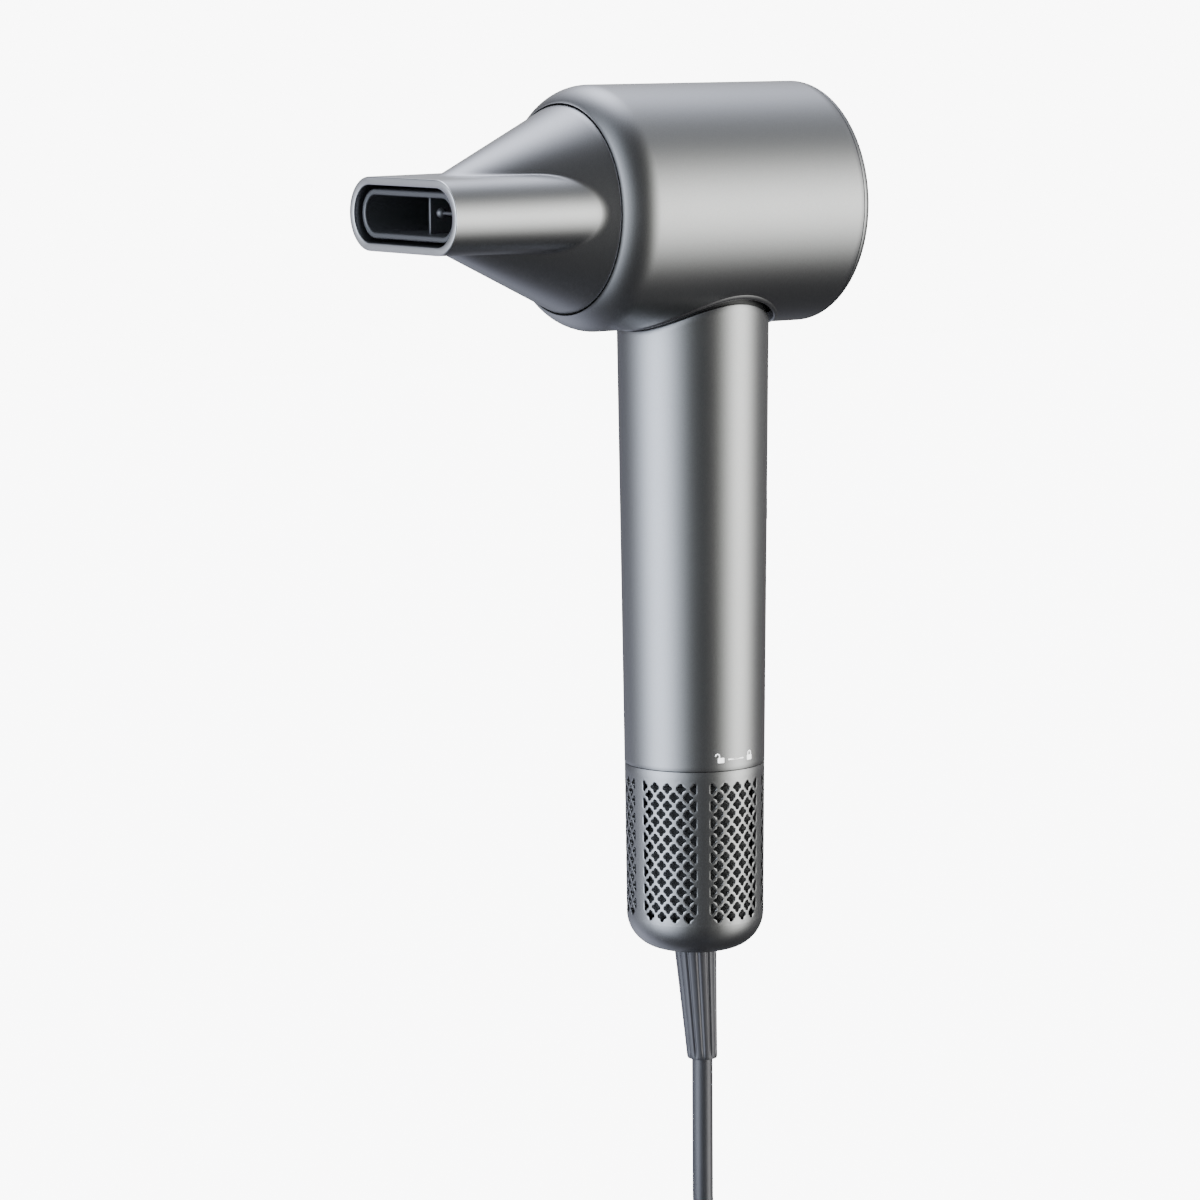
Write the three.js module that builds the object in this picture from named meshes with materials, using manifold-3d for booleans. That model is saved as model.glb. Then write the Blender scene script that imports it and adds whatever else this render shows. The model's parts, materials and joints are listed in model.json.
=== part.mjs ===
// A high-speed hair dryer, in millimetres, +Z up.
// The origin is on the handle's axis, where the hand grips it. The barrel's axis runs along X at
// HEAD_Z, its outlet and the nozzle point to -X, and the controls are on the handle's +X side.
import * as THREE from "three";
import { mergeVertices } from "three/addons/utils/BufferGeometryUtils.js";
import Module from "manifold-3d";

const wasm = await Module();
wasm.setup();

// ---- Driving dimensions -------------------------------------------------------------------------
const GAP = 0.3; // between pieces that touch
const ROUND = 36; // sides of the outer turned pieces
const INSIDE = 24; // sides of the turned pieces inside
const SMALL = 12; // sides of pins, buttons and screws

const HEAD_Z = 100; // barrel axis
const HEAD_R = 35;
const HEAD_FRONT = -46;
const HEAD_REAR = 38.6;
const FRONT_ROUND = 12.2; // radius of the barrel's rounded front
const ROUND_START = -36; // where that rounding begins
const HEAD_WALL = 2;
const SHELL_REAR = 35.6; // where the rear cover begins
const REAR_ROUND = 2.8;

const SEAM_Z = -62.7; // between the handle and the filter
const HANDLE_SEAM_R = 20.6;
const HANDLE_TAPER = 0.01137; // radius gained for each millimetre of height
const HANDLE_TOP = 80;
const HANDLE_WALL = 1.8;
const NECK_HOLE_R = 19.2; // hole in the barrel above the handle

const COVER_TOP_R = 20.55;
const COVER_LOW_R = 20.2;
const COVER_BOTTOM = -118.1;
const COVER_ROUND = 10.8;
const COVER_WALL = 1.3;
const COVER_HOLE_R = 7;
const PANELS = 6; // perforated panels round the filter

const MOUTH_X = -99.2; // front of the nozzle
const MOUTH_W = 54.8;
const MOUTH_H = 20.8;
const BASE_H = 22; // height of the flat duct at the nozzle's base
const NOZZLE_BASE = -45.8;
const NOZZLE_R = 29.5;
const NOZZLE_TIP_R = 4.5; // the cone's radius if it reached the mouth
const NOZZLE_WALL = 2;
const DUCT_W = 47.8; // flat duct inside the nozzle
const DUCT_H = 13.8;
const DUCT_WALL = 1.4;
const BEAD_X = -90; // small bead inside the nozzle's mouth
const BEAD_Y = -5.9;
const BEAD_Z = 0.7;

const CORD_D = 6.2;
const CORD_EXIT = [1.6, -1.1, -152.1]; // end of the strain relief
const FLOOR_Z = -235; // surface that the coiled cord lies on
const COIL_R = 46.7; // centreline of the coil's outermost turn
const COIL_TURNS = 3.78; // in each of the coil's two layers
const COIL_LIFT = 1.5; // the tie passes under the coil
const COIL_ENTRY = 20; // degrees, where the lead lands on the coil
const TIE_TURN = 280; // degrees, where the tie goes round the coil
const LEAD_BEND = 30; // radius in which the lead turns from hanging to lying
const TAIL = 46; // from the coil to the plug
const PLUG_THICK = 15;

// ---- Solids -------------------------------------------------------------------------------------
function solid(geometry) {
  const bare = geometry.index ? geometry.toNonIndexed() : geometry.clone();
  bare.deleteAttribute("normal");
  bare.deleteAttribute("uv");
  const merged = mergeVertices(bare, 1e-4);
  const corners = merged.index.array;
  const faces = [];
  for (let i = 0; i < corners.length; i += 3) {
    const [a, b, c] = corners.slice(i, i + 3);
    if (a !== b && b !== c && c !== a) faces.push(a, b, c);
  }
  const mesh = new wasm.Mesh({
    numProp: 3,
    vertProperties: merged.attributes.position.array,
    triVerts: new Uint32Array(faces),
  });
  return new wasm.Manifold(mesh);
}

function geometryOf(manifold) {
  const mesh = manifold.getMesh();
  const geometry = new THREE.BufferGeometry();
  geometry.setAttribute("position", new THREE.BufferAttribute(mesh.vertProperties, 3));
  geometry.setIndex(new THREE.BufferAttribute(mesh.triVerts, 1));
  const flat = geometry.toNonIndexed();
  flat.computeVertexNormals();
  return flat;
}

// A closed outline of [radius, height] points, turned about Z.
function turned(outline, sides = ROUND) {
  let area = 0;
  outline.forEach(([r, z], i) => {
    const [nextR, nextZ] = outline[(i + 1) % outline.length];
    area += r * nextZ - nextR * z;
  });
  const points = (area > 0 ? outline : [...outline].reverse()).map(([r, z]) => new THREE.Vector2(r, z));
  points.push(points[0].clone());
  return solid(new THREE.LatheGeometry(points, sides).rotateX(Math.PI / 2));
}

// Turned about the X axis: the outline is [x, radius].
function turnedX(outline, sides = ROUND) {
  const flipped = outline.map(([x, r]) => [r, x]);
  return turned(flipped, sides).rotate([0, 90, 0]);
}

function block(low, high) {
  const size = high.map((value, i) => value - low[i]);
  const middle = high.map((value, i) => (value + low[i]) / 2);
  return solid(new THREE.BoxGeometry(...size).translate(...middle));
}

function rod(radius, from, to, sides = SMALL) {
  return turned([[0, from], [radius, from], [radius, to], [0, to]], sides);
}

function rodX(radius, from, to, sides = SMALL) {
  return turnedX([[from, 0], [from, radius], [to, radius], [to, 0]], sides);
}

function pipe(outer, inner, from, to, sides = ROUND) {
  return turned([[inner, from], [outer, from], [outer, to], [inner, to]], sides);
}

function pipeX(outer, inner, from, to, sides = ROUND) {
  return turnedX([[from, inner], [from, outer], [to, outer], [to, inner]], sides);
}

// Points on an arc, from one angle to another in degrees, both ends included.
function arc(centreA, centreB, radius, from, to, steps) {
  return Array.from({ length: steps + 1 }, (_, i) => {
    const angle = THREE.MathUtils.degToRad(from + ((to - from) * i) / steps);
    return [centreA + radius * Math.cos(angle), centreB + radius * Math.sin(angle)];
  });
}

function joined(pieces) {
  return pieces.reduce((whole, piece) => whole.add(piece));
}

function cut(whole, pieces) {
  return pieces.reduce((rest, piece) => rest.subtract(piece), whole);
}

// Copies of a solid, evenly spaced about Z.
function around(piece, count) {
  return Array.from({ length: count }, (_, i) => piece.rotate([0, 0, (360 * i) / count]));
}

function aroundX(piece, count) {
  return Array.from({ length: count }, (_, i) => piece.rotate([(360 * i) / count, 0, 0]));
}

// A flat oval across Y, given as width by height, running along X.
function ovalDuct(width, height, from, to, baseHeight = height) {
  const straight = (width - height) / 2;
  const shape = new THREE.Shape();
  shape.moveTo(straight, -height / 2);
  shape.absarc(straight, 0, height / 2, -Math.PI / 2, Math.PI / 2, false);
  shape.absarc(-straight, 0, height / 2, Math.PI / 2, (3 * Math.PI) / 2, false);
  const geometry = new THREE.ExtrudeGeometry(shape, {
    depth: to - from,
    bevelEnabled: false,
    curveSegments: 6,
  });
  const alongX = new THREE.Matrix4().set(0, 0, 1, from, 1, 0, 0, 0, 0, 1, 0, 0, 0, 0, 0, 1);
  geometry.applyMatrix4(alongX);
  const position = geometry.attributes.position;
  for (let i = 0; i < position.count; i += 1) {
    const along = (position.getX(i) - from) / (to - from);
    const growth = 1 + ((baseHeight - height) / height) * along;
    position.setZ(i, position.getZ(i) * growth);
  }
  return solid(geometry);
}

// A round cable along a smooth curve through the points.
function cable(points, diameter, steps, sides) {
  const section = new THREE.Shape(
    arc(0, 0, diameter / 2, 0, 360 - 360 / sides, sides - 1).map(([x, y]) => new THREE.Vector2(x, y)),
  );
  const curve = new THREE.CatmullRomCurve3(points.map((point) => new THREE.Vector3(...point)));
  return solid(
    new THREE.ExtrudeGeometry(section, { steps, bevelEnabled: false, extrudePath: curve }),
  );
}

// ---- The scene graph ----------------------------------------------------------------------------
const FINISHES = {
  shell: { color: 0x8d9093, roughness: 0.38, metalness: 0.75 },
  trim: { color: 0xb9bbbd, roughness: 0.25, metalness: 0.9 },
  steel: { color: 0xa9abad, roughness: 0.3, metalness: 1 },
  brass: { color: 0xc8b06a, roughness: 0.3, metalness: 1 },
  copper: { color: 0xb4693c, roughness: 0.35, metalness: 1 },
  dark: { color: 0x1c1d1f, roughness: 0.6, metalness: 0 },
  white: { color: 0xd9d8d2, roughness: 0.5, metalness: 0 },
  mica: { color: 0xb8a888, roughness: 0.7, metalness: 0 },
  board: { color: 0x1f5a38, roughness: 0.5, metalness: 0 },
  rubber: { color: 0x2a2b2d, roughness: 0.85, metalness: 0 },
  cord: { color: 0x77777b, roughness: 0.6, metalness: 0 },
  lens: { color: 0xe8eef2, roughness: 0.2, metalness: 0 },
};

const dryer = new THREE.Group();
const head = new THREE.Group();
head.position.z = HEAD_Z;
const handle = new THREE.Group();
const cordSet = new THREE.Group();
dryer.add(head, handle, cordSet);

function place(group, name, manifold, finish) {
  const mesh = new THREE.Mesh(geometryOf(manifold), new THREE.MeshStandardMaterial(FINISHES[finish]));
  mesh.name = name;
  group.add(mesh);
}

function handleRadius(z) {
  return HANDLE_SEAM_R + (z - SEAM_Z) * HANDLE_TAPER;
}

// ---- Barrel -------------------------------------------------------------------------------------
const ROUND_CENTRE_R = HEAD_R - FRONT_ROUND;
const ROUND_END = THREE.MathUtils.radToDeg(Math.acos((HEAD_FRONT - ROUND_START) / FRONT_ROUND));
const RIM_R = ROUND_CENTRE_R + FRONT_ROUND * Math.sin(THREE.MathUtils.degToRad(ROUND_END));
const LIP_BACK = -42; // the front lip is this deep, and the bezel sits behind it
const SEAT_R = 32;
const INNER_R = HEAD_R - HEAD_WALL;

function addBarrelShell() {
  const tube = turnedX([
    [SHELL_REAR, INNER_R],
    [SHELL_REAR, HEAD_R],
    ...arc(ROUND_START, ROUND_CENTRE_R, FRONT_ROUND, 90, ROUND_END, 4),
    [LIP_BACK, RIM_R],
    [LIP_BACK, SEAT_R],
    [ROUND_START, SEAT_R],
    [ROUND_START + 2, INNER_R],
  ]);
  const neckHole = rod(NECK_HOLE_R, -HEAD_R - 5, -15, INSIDE);
  place(head, "head_shell", cut(tube, [neckHole]), "shell");

  const rimX = SHELL_REAR + GAP;
  const faceInside = HEAD_REAR - HEAD_WALL;
  const cover = turnedX([
    [faceInside, 0],
    [HEAD_REAR, 0],
    ...arc(HEAD_REAR - REAR_ROUND, HEAD_R - REAR_ROUND, REAR_ROUND, 0, 85, 3),
    [rimX, HEAD_R],
    [rimX, INNER_R - GAP],
    [rimX - 6, INNER_R - GAP],
    [rimX - 6, INNER_R - 1.8],
    [faceInside, INNER_R - 1.8],
  ]);
  place(head, "rear_cover", cover, "shell");
}

function addOutlet() {
  place(head, "front_bezel", pipeX(SEAT_R - GAP, 22.5, LIP_BACK + GAP, -37.7), "dark");
  place(head, "magnet_ring", pipeX(SEAT_R - GAP, 27.5, -37.4, -34.4, INSIDE), "steel");
  const grilleRings = [
    pipeX(22.1, 20.6, -39.6, -38, INSIDE),
    pipeX(12.6, 11.2, -39.6, -38, 18),
    pipeX(3.4, 1.3, -39.6, -38, SMALL),
  ];
  const spokes = aroundX(block([-39.3, -0.6, 3], [-38.3, 0.6, 21]), 6);
  place(head, "outlet_grille", joined([...grilleRings, ...spokes]), "dark");
  place(head, "ion_emitter", rodX(2.2, -37.4, -33.8), "steel");
}

function addHeater() {
  place(head, "heater_shroud", pipeX(27, 26.1, -33.5, -11, INSIDE), "mica");
  const plate = block([-33, -0.5, -21], [-12, 0.5, 21]);
  place(head, "heater_frame", plate.add(plate.rotate([90, 0, 0])), "mica");
  ["front", "middle", "rear"].forEach((where, i) => {
    const x = -29.5 + 6.5 * i;
    const ring = turnedX(arc(x, 22.7, 1, 0, 288, 4), INSIDE);
    place(head, `heater_coil_${where}`, ring, "copper");
  });
  const fuse = rodX(1.9, -22, -13, 12).translate([0, 8, 8]);
  place(head, "thermal_fuse", fuse, "white");
  const thermostat = rodX(5, -16, -12.5, SMALL).translate([0, -9, 9]);
  place(head, "thermostat", thermostat, "steel");
}

function addAirGuide() {
  const dome = turnedX([
    [-10.5, 26],
    [-10.5, 27],
    [15, 27],
    [20, 20],
    [20, 0],
    [19, 0],
    [19, 19.5],
    [14.5, 26],
  ], INSIDE);
  const neckOutside = cut(rod(9.6, -56, -20, SMALL), [rodX(26.5, -15, 15, INSIDE)]);
  const neckInside = rod(8.6, -57, -20, SMALL);
  place(head, "air_guide", cut(dome.add(neckOutside), [neckInside]), "dark");
}

function addBarrelElectronics() {
  const boardX = 28;
  const screwY = 24;
  const parts = [
    rodX(30, boardX, boardX + 1.6, INSIDE),
    rodX(5, 22.5, boardX + 0.5, SMALL).translate([0, 14, 8]),
    block([23, -16, 4], [boardX + 0.5, -6, 16]),
    block([24, -8, -18], [boardX + 0.5, 8, -10]),
  ];
  const holes = [-1, 1].map((side) => rodX(1.6, 20, 31, 12).translate([0, side * screwY, 0]));
  place(head, "control_board", cut(joined(parts), holes), "board");
  [-1, 1].forEach((side, i) => {
    const screw = rodX(1.2, 22, 30.1, 10).add(rodX(2.4, 29.9, 31.4, 10));
    place(head, `board_screw_${i + 1}`, screw.translate([0, side * screwY, 0]), "steel");
  });
  place(head, "ion_module", block([30.2, -11, -14], [35.5, 11, -2]), "dark");
}

// ---- Nozzle -------------------------------------------------------------------------------------
function addNozzle() {
  const insideMouth = MOUTH_X - 1;
  const insideBase = NOZZLE_BASE + 1;
  const slope = (NOZZLE_R - NOZZLE_TIP_R) / (NOZZLE_BASE - MOUTH_X);
  const cone = (shrink, from, to) =>
    turnedX([
      [from, 0],
      [from, NOZZLE_TIP_R + slope * (from - MOUTH_X) - shrink],
      [to, NOZZLE_TIP_R + slope * (to - MOUTH_X) - shrink],
      [to, 0],
    ]);
  const wall2 = 2 * NOZZLE_WALL;
  const outside = cone(0, MOUTH_X + 2, NOZZLE_BASE).add(
    ovalDuct(MOUTH_W, MOUTH_H, MOUTH_X, NOZZLE_BASE - 2, BASE_H),
  );
  const inside = cone(NOZZLE_WALL, MOUTH_X + 2, insideBase).add(
    ovalDuct(MOUTH_W - wall2, MOUTH_H - wall2, insideMouth, NOZZLE_BASE - 2, BASE_H - wall2),
  );
  const flange = pipeX(NOZZLE_R - 0.8, 21.5, NOZZLE_BASE - 1.4, NOZZLE_BASE);
  const hub = pipeX(23.1, 21.5, NOZZLE_BASE - 1, LIP_BACK - GAP);
  place(head, "nozzle_shell", joined([cut(outside, [inside]), flange, hub]), "shell");

  const ring = pipeX(29.3, 23.5, NOZZLE_BASE + GAP, LIP_BACK - 0.1);
  place(head, "nozzle_base_ring", ring, "steel");

  const ductFrom = MOUTH_X + 2;
  const ductTo = -62;
  const duct = cut(ovalDuct(DUCT_W, DUCT_H, ductFrom, ductTo), [
    ovalDuct(DUCT_W - 2 * DUCT_WALL, DUCT_H - 2 * DUCT_WALL, ductFrom - 1, ductTo + 1),
  ]);
  const webs = [-1, 1].flatMap((side) =>
    [-15, 15].map((y) => {
      const near = DUCT_H / 2 - 0.5;
      const far = DUCT_H / 2 + 1.3;
      const low = Math.min(side * near, side * far);
      return block([-84, y - 0.6, low], [-72, y + 0.6, low + far - near]);
    }),
  );
  // A thin stem from one end of the duct holds a small round bead just in front of the divider.
  const endWall = -DUCT_W / 2 + 0.5;
  const bead = solid(new THREE.SphereGeometry(1.4, 10, 6)).translate([BEAD_X, BEAD_Y, BEAD_Z]);
  const stem = rod(0.7, -BEAD_Y, -endWall, 8).rotate([90, 0, 0]).translate([BEAD_X, 0, BEAD_Z]);
  place(head, "nozzle_inner_duct", joined([duct, ...webs, stem, bead]), "dark");

  const halfSlot = DUCT_H / 2 - DUCT_WALL - GAP;
  const divider = block([-90.2, -0.5, -halfSlot], [-66, 0.5, halfSlot]);
  place(head, "nozzle_divider", divider, "dark");
}

// ---- Handle -------------------------------------------------------------------------------------
const SLIDER_Z = 12; // at its off position
const SLIDER_TRAVEL = 8;
const LENS_Z = [31.5, 34.5, 37.5];
const BUTTONS = { temp: 44, cool: 55 }; // heights on the handle
const BUTTON_R = 4.2;
const BUTTON_BACK = 17.6;

function addHandleShell() {
  const bottom = SEAM_Z + GAP;
  const cone = turned([
    [handleRadius(bottom) - HANDLE_WALL, bottom],
    [handleRadius(bottom), bottom],
    [handleRadius(HANDLE_TOP), HANDLE_TOP],
    [handleRadius(HANDLE_TOP) - HANDLE_WALL, HANDLE_TOP],
  ]);
  const barrelSpace = rodX(HEAD_R + GAP, -50, 50, 48).translate([0, 0, HEAD_Z]);
  const holes = Object.values(BUTTONS).map((z) => rodX(BUTTON_R + GAP, 15, 30, 16).translate([0, 0, z]));
  const lensHoles = LENS_Z.map((z) => rodX(1.4, 15, 30, 12).translate([0, 0, z]));
  const slot = block([15, -2.2, SLIDER_Z - 3.1], [30, 2.2, SLIDER_Z + SLIDER_TRAVEL + 3.1]);
  place(handle, "handle_shell", cut(cone, [barrelSpace, slot, ...holes, ...lensHoles]), "shell");

  const collar = turned([[17, 61.2], [19.8, 61.2], [19.8, 63.2], [18.7, 63.2], [18.7, 72], [17, 72]], INSIDE);
  place(handle, "neck_collar", collar, "dark");
}

function addMotor() {
  place(handle, "motor_sleeve", pipe(16.2, 14.5, -47, -11, INSIDE), "rubber");
  const arms = (from, to) => around(block([4, -0.7, from], [13.2, 0.7, to]), 3);
  const housing = joined([
    pipe(14.2, 12.9, -46, -12, INSIDE),
    pipe(4.6, 3.3, -38.6, -35.8, SMALL),
    pipe(4.6, 3.3, -18.2, -15.4, SMALL),
    ...arms(-38.4, -36),
    ...arms(-18, -15.6),
  ]);
  place(handle, "motor_housing", housing, "steel");
  const fins = around(block([8.5, -0.8, -33], [12.5, 0.8, -23]).rotate([0, 0, 60]), 3);
  place(handle, "motor_stator", joined([pipe(9.4, 5, -34, -22, 24), ...fins]), "copper");
  place(handle, "rotor_magnet", pipe(4.5, 1.8, -34.5, -21.5, SMALL), "steel");
  place(handle, "motor_shaft", rod(1.5, -45, -13, SMALL), "steel");
  place(handle, "bearing_lower", pipe(3, 1.7, -38.4, -36, SMALL), "steel");
  place(handle, "bearing_upper", pipe(3, 1.7, -18, -15.6, SMALL), "steel");
  const hub = turned([[1.8, -44.6], [4.2, -44.6], [6, -40.2], [1.8, -40.2]], 24);
  const blade = block([3.6, -0.4, -2.4], [12.2, 0.4, 2.4]).rotate([40, 0, 0]).translate([0, 0, -42.4]);
  place(handle, "impeller", joined([hub, ...around(blade, 9)]), "dark");
  const duct = turned([
    [14.6, -10.5],
    [15.8, -10.5],
    [15.8, -6],
    [11, 6],
    [11, 50],
    [10, 50],
    [10, 6.6],
    [14.6, -5.2],
  ], INSIDE);
  place(handle, "upper_duct", duct, "dark");
}

function addControls() {
  const boardX = 12.6;
  const boardTop = 1.2;
  place(handle, "switch_board", block([boardX, -7.5, 4.5], [boardX + boardTop, 7.5, 59.5]), "board");
  const mountX = boardX + boardTop + GAP;
  place(handle, "slide_switch", block([mountX, -3.5, 5], [17.4, 3.5, 27]), "steel");

  const knobR = handleRadius(SLIDER_Z + SLIDER_TRAVEL) + 0.4;
  const knob = block([18.5, -4.5, SLIDER_Z - 5.5], [24.2, 4.5, SLIDER_Z + 5.5]);
  const stem = block([18, -1.8, SLIDER_Z - 2.6], [23, 1.8, SLIDER_Z + 2.6]);
  const cap = cut(knob, [rod(knobR, SLIDER_Z - 10, SLIDER_Z + 10, ROUND)]);
  place(handle, "speed_slider", cap.add(stem), "trim");

  Object.entries(BUTTONS).forEach(([name, z]) => {
    const face = handleRadius(z) + 0.4;
    const cover = turnedX([
      [BUTTON_BACK, 0],
      [BUTTON_BACK, 5.2],
      [BUTTON_BACK + 1.2, 5.2],
      [BUTTON_BACK + 1.2, BUTTON_R],
      [face, BUTTON_R],
      [face, 0],
    ], 16);
    place(handle, `${name}_button`, cover.translate([0, 0, z]), "trim");
    const base = block([mountX, -3, z - 3], [16, 3, z + 3]);
    const plunger = rodX(1.5, 15.8, BUTTON_BACK - 1.1, 12).translate([0, 0, z]);
    place(handle, `${name}_switch`, base.add(plunger), "dark");
  });

  LENS_Z.forEach((z, i) => {
    const lens = rodX(1.1, mountX, handleRadius(z) - 0.1, 12).translate([0, 0, z]);
    place(handle, `indicator_lens_${i + 1}`, lens, "lens");
  });

  const driver = joined([
    block([-13.4, -7, 8], [-12.2, 7, 50]),
    block([-16.8, -5, 12], [-13.2, 5, 20]),
    block([-16, -4, 26], [-13.2, 4, 34]),
  ]);
  place(handle, "driver_board", driver, "board");
}

// ---- Air inlet and filter -----------------------------------------------------------------------
const CORE_BOTTOM = -109;
const CORE_R = 17.7;

function addInlet() {
  const cage = turned([
    [5.2, CORE_BOTTOM],
    [CORE_R, CORE_BOTTOM],
    [CORE_R, -67],
    [18.4, -66],
    [18.4, -56],
    [16.7, -56],
    [16.7, CORE_BOTTOM + 2.4],
    [5.2, CORE_BOTTOM + 2.4],
  ], INSIDE);
  const windows = around(block([10, -6, -103], [25, 6, -71]), PANELS);
  place(handle, "inlet_core", cut(cage, windows.map((w) => w.rotate([0, 0, 30]))), "dark");

  place(handle, "filter_liner", pipe(18.4, 18.05, -106, -67.6, INSIDE), "steel");

  const top = SEAM_Z - GAP;
  const roundR = COVER_LOW_R - COVER_ROUND;
  const roundZ = COVER_BOTTOM + COVER_ROUND;
  const cover = turned([
    [COVER_TOP_R - COVER_WALL, top],
    [COVER_TOP_R, top],
    ...arc(roundR, roundZ, COVER_ROUND, 0, -90, 4),
    [COVER_HOLE_R, COVER_BOTTOM],
    [COVER_HOLE_R, COVER_BOTTOM + COVER_WALL],
    ...arc(roundR, roundZ, COVER_ROUND - COVER_WALL, -90, 0, 3),
  ]);
  const slots = [-12, 12].flatMap((turn) =>
    around(block([17, -2.4, -104.5], [23, 2.4, -67]), PANELS).map((s) => s.rotate([0, 0, 30 + turn])),
  );
  place(handle, "filter_cover", cut(cover, slots), "shell");
}

function addCordAnchor() {
  const plateTop = CORE_BOTTOM + 2.4;
  const clampLow = plateTop + 2.8;
  const clampHigh = clampLow + 6;
  const bar = block([-12, -4.5, clampLow], [12, 4.5, clampHigh]);
  const holes = [-9, 9].map((x) => rod(1.4, clampLow - 1, clampHigh + 1, 10).translate([x, 0, 0]));
  place(handle, "cord_clamp", cut(bar, [...holes, rod(3.4, clampLow - 1, clampHigh + 1, 12)]), "dark");
  [-9, 9].forEach((x, i) => {
    const shank = rod(1.1, plateTop + GAP, clampHigh + 1, 10);
    const capHead = rod(2.2, clampHigh + GAP, clampHigh + 2, 10);
    place(handle, `clamp_screw_${i + 1}`, shank.add(capHead).translate([x, 0, 0]), "steel");
  });

  const reliefTop = COVER_BOTTOM;
  const reliefLow = CORD_EXIT[2];
  const sleeve = turned([
    [0, plateTop + 2.5],
    [6.6, plateTop + 2.5],
    [6.6, plateTop + GAP],
    [4.9, plateTop + GAP],
    [4.9, CORE_BOTTOM - GAP],
    [6.3, CORE_BOTTOM - GAP],
    [6.3, reliefTop],
    [5.4, (reliefTop + reliefLow) / 2],
    [4.5, reliefLow],
    [0, reliefLow],
  ], SMALL);
  const leaning = geometryOf(sleeve);
  const position = leaning.attributes.position;
  for (let i = 0; i < position.count; i += 1) {
    const lean = Math.max(0, (reliefTop - position.getZ(i)) / (reliefTop - reliefLow));
    position.setX(i, position.getX(i) + CORD_EXIT[0] * lean);
    position.setY(i, position.getY(i) + CORD_EXIT[1] * lean);
  }
  place(handle, "strain_relief", solid(leaning), "cord");

  [["live_wire", -1], ["neutral_wire", 1]].forEach(([name, side]) => {
    const route = [
      [side * 1.3, 0, -103],
      [side * 1.3, 0, -96],
      [-4, side * 1.6, -86],
      [-13, side * 1.8, -76],
      [-15, side * 1.8, -66],
      [-15, side * 1.8, -57],
      [-17.3, side * 1.9, -49.5],
      [-17.5, side * 1.9, -38],
      [-17.5, side * 1.9, -10],
      [-16.4, side * 2.4, -2],
      [-15.4, side * 3, 5],
    ];
    place(handle, name, cable(route, 1.8, 18, 6), "dark");
  });
}

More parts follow.
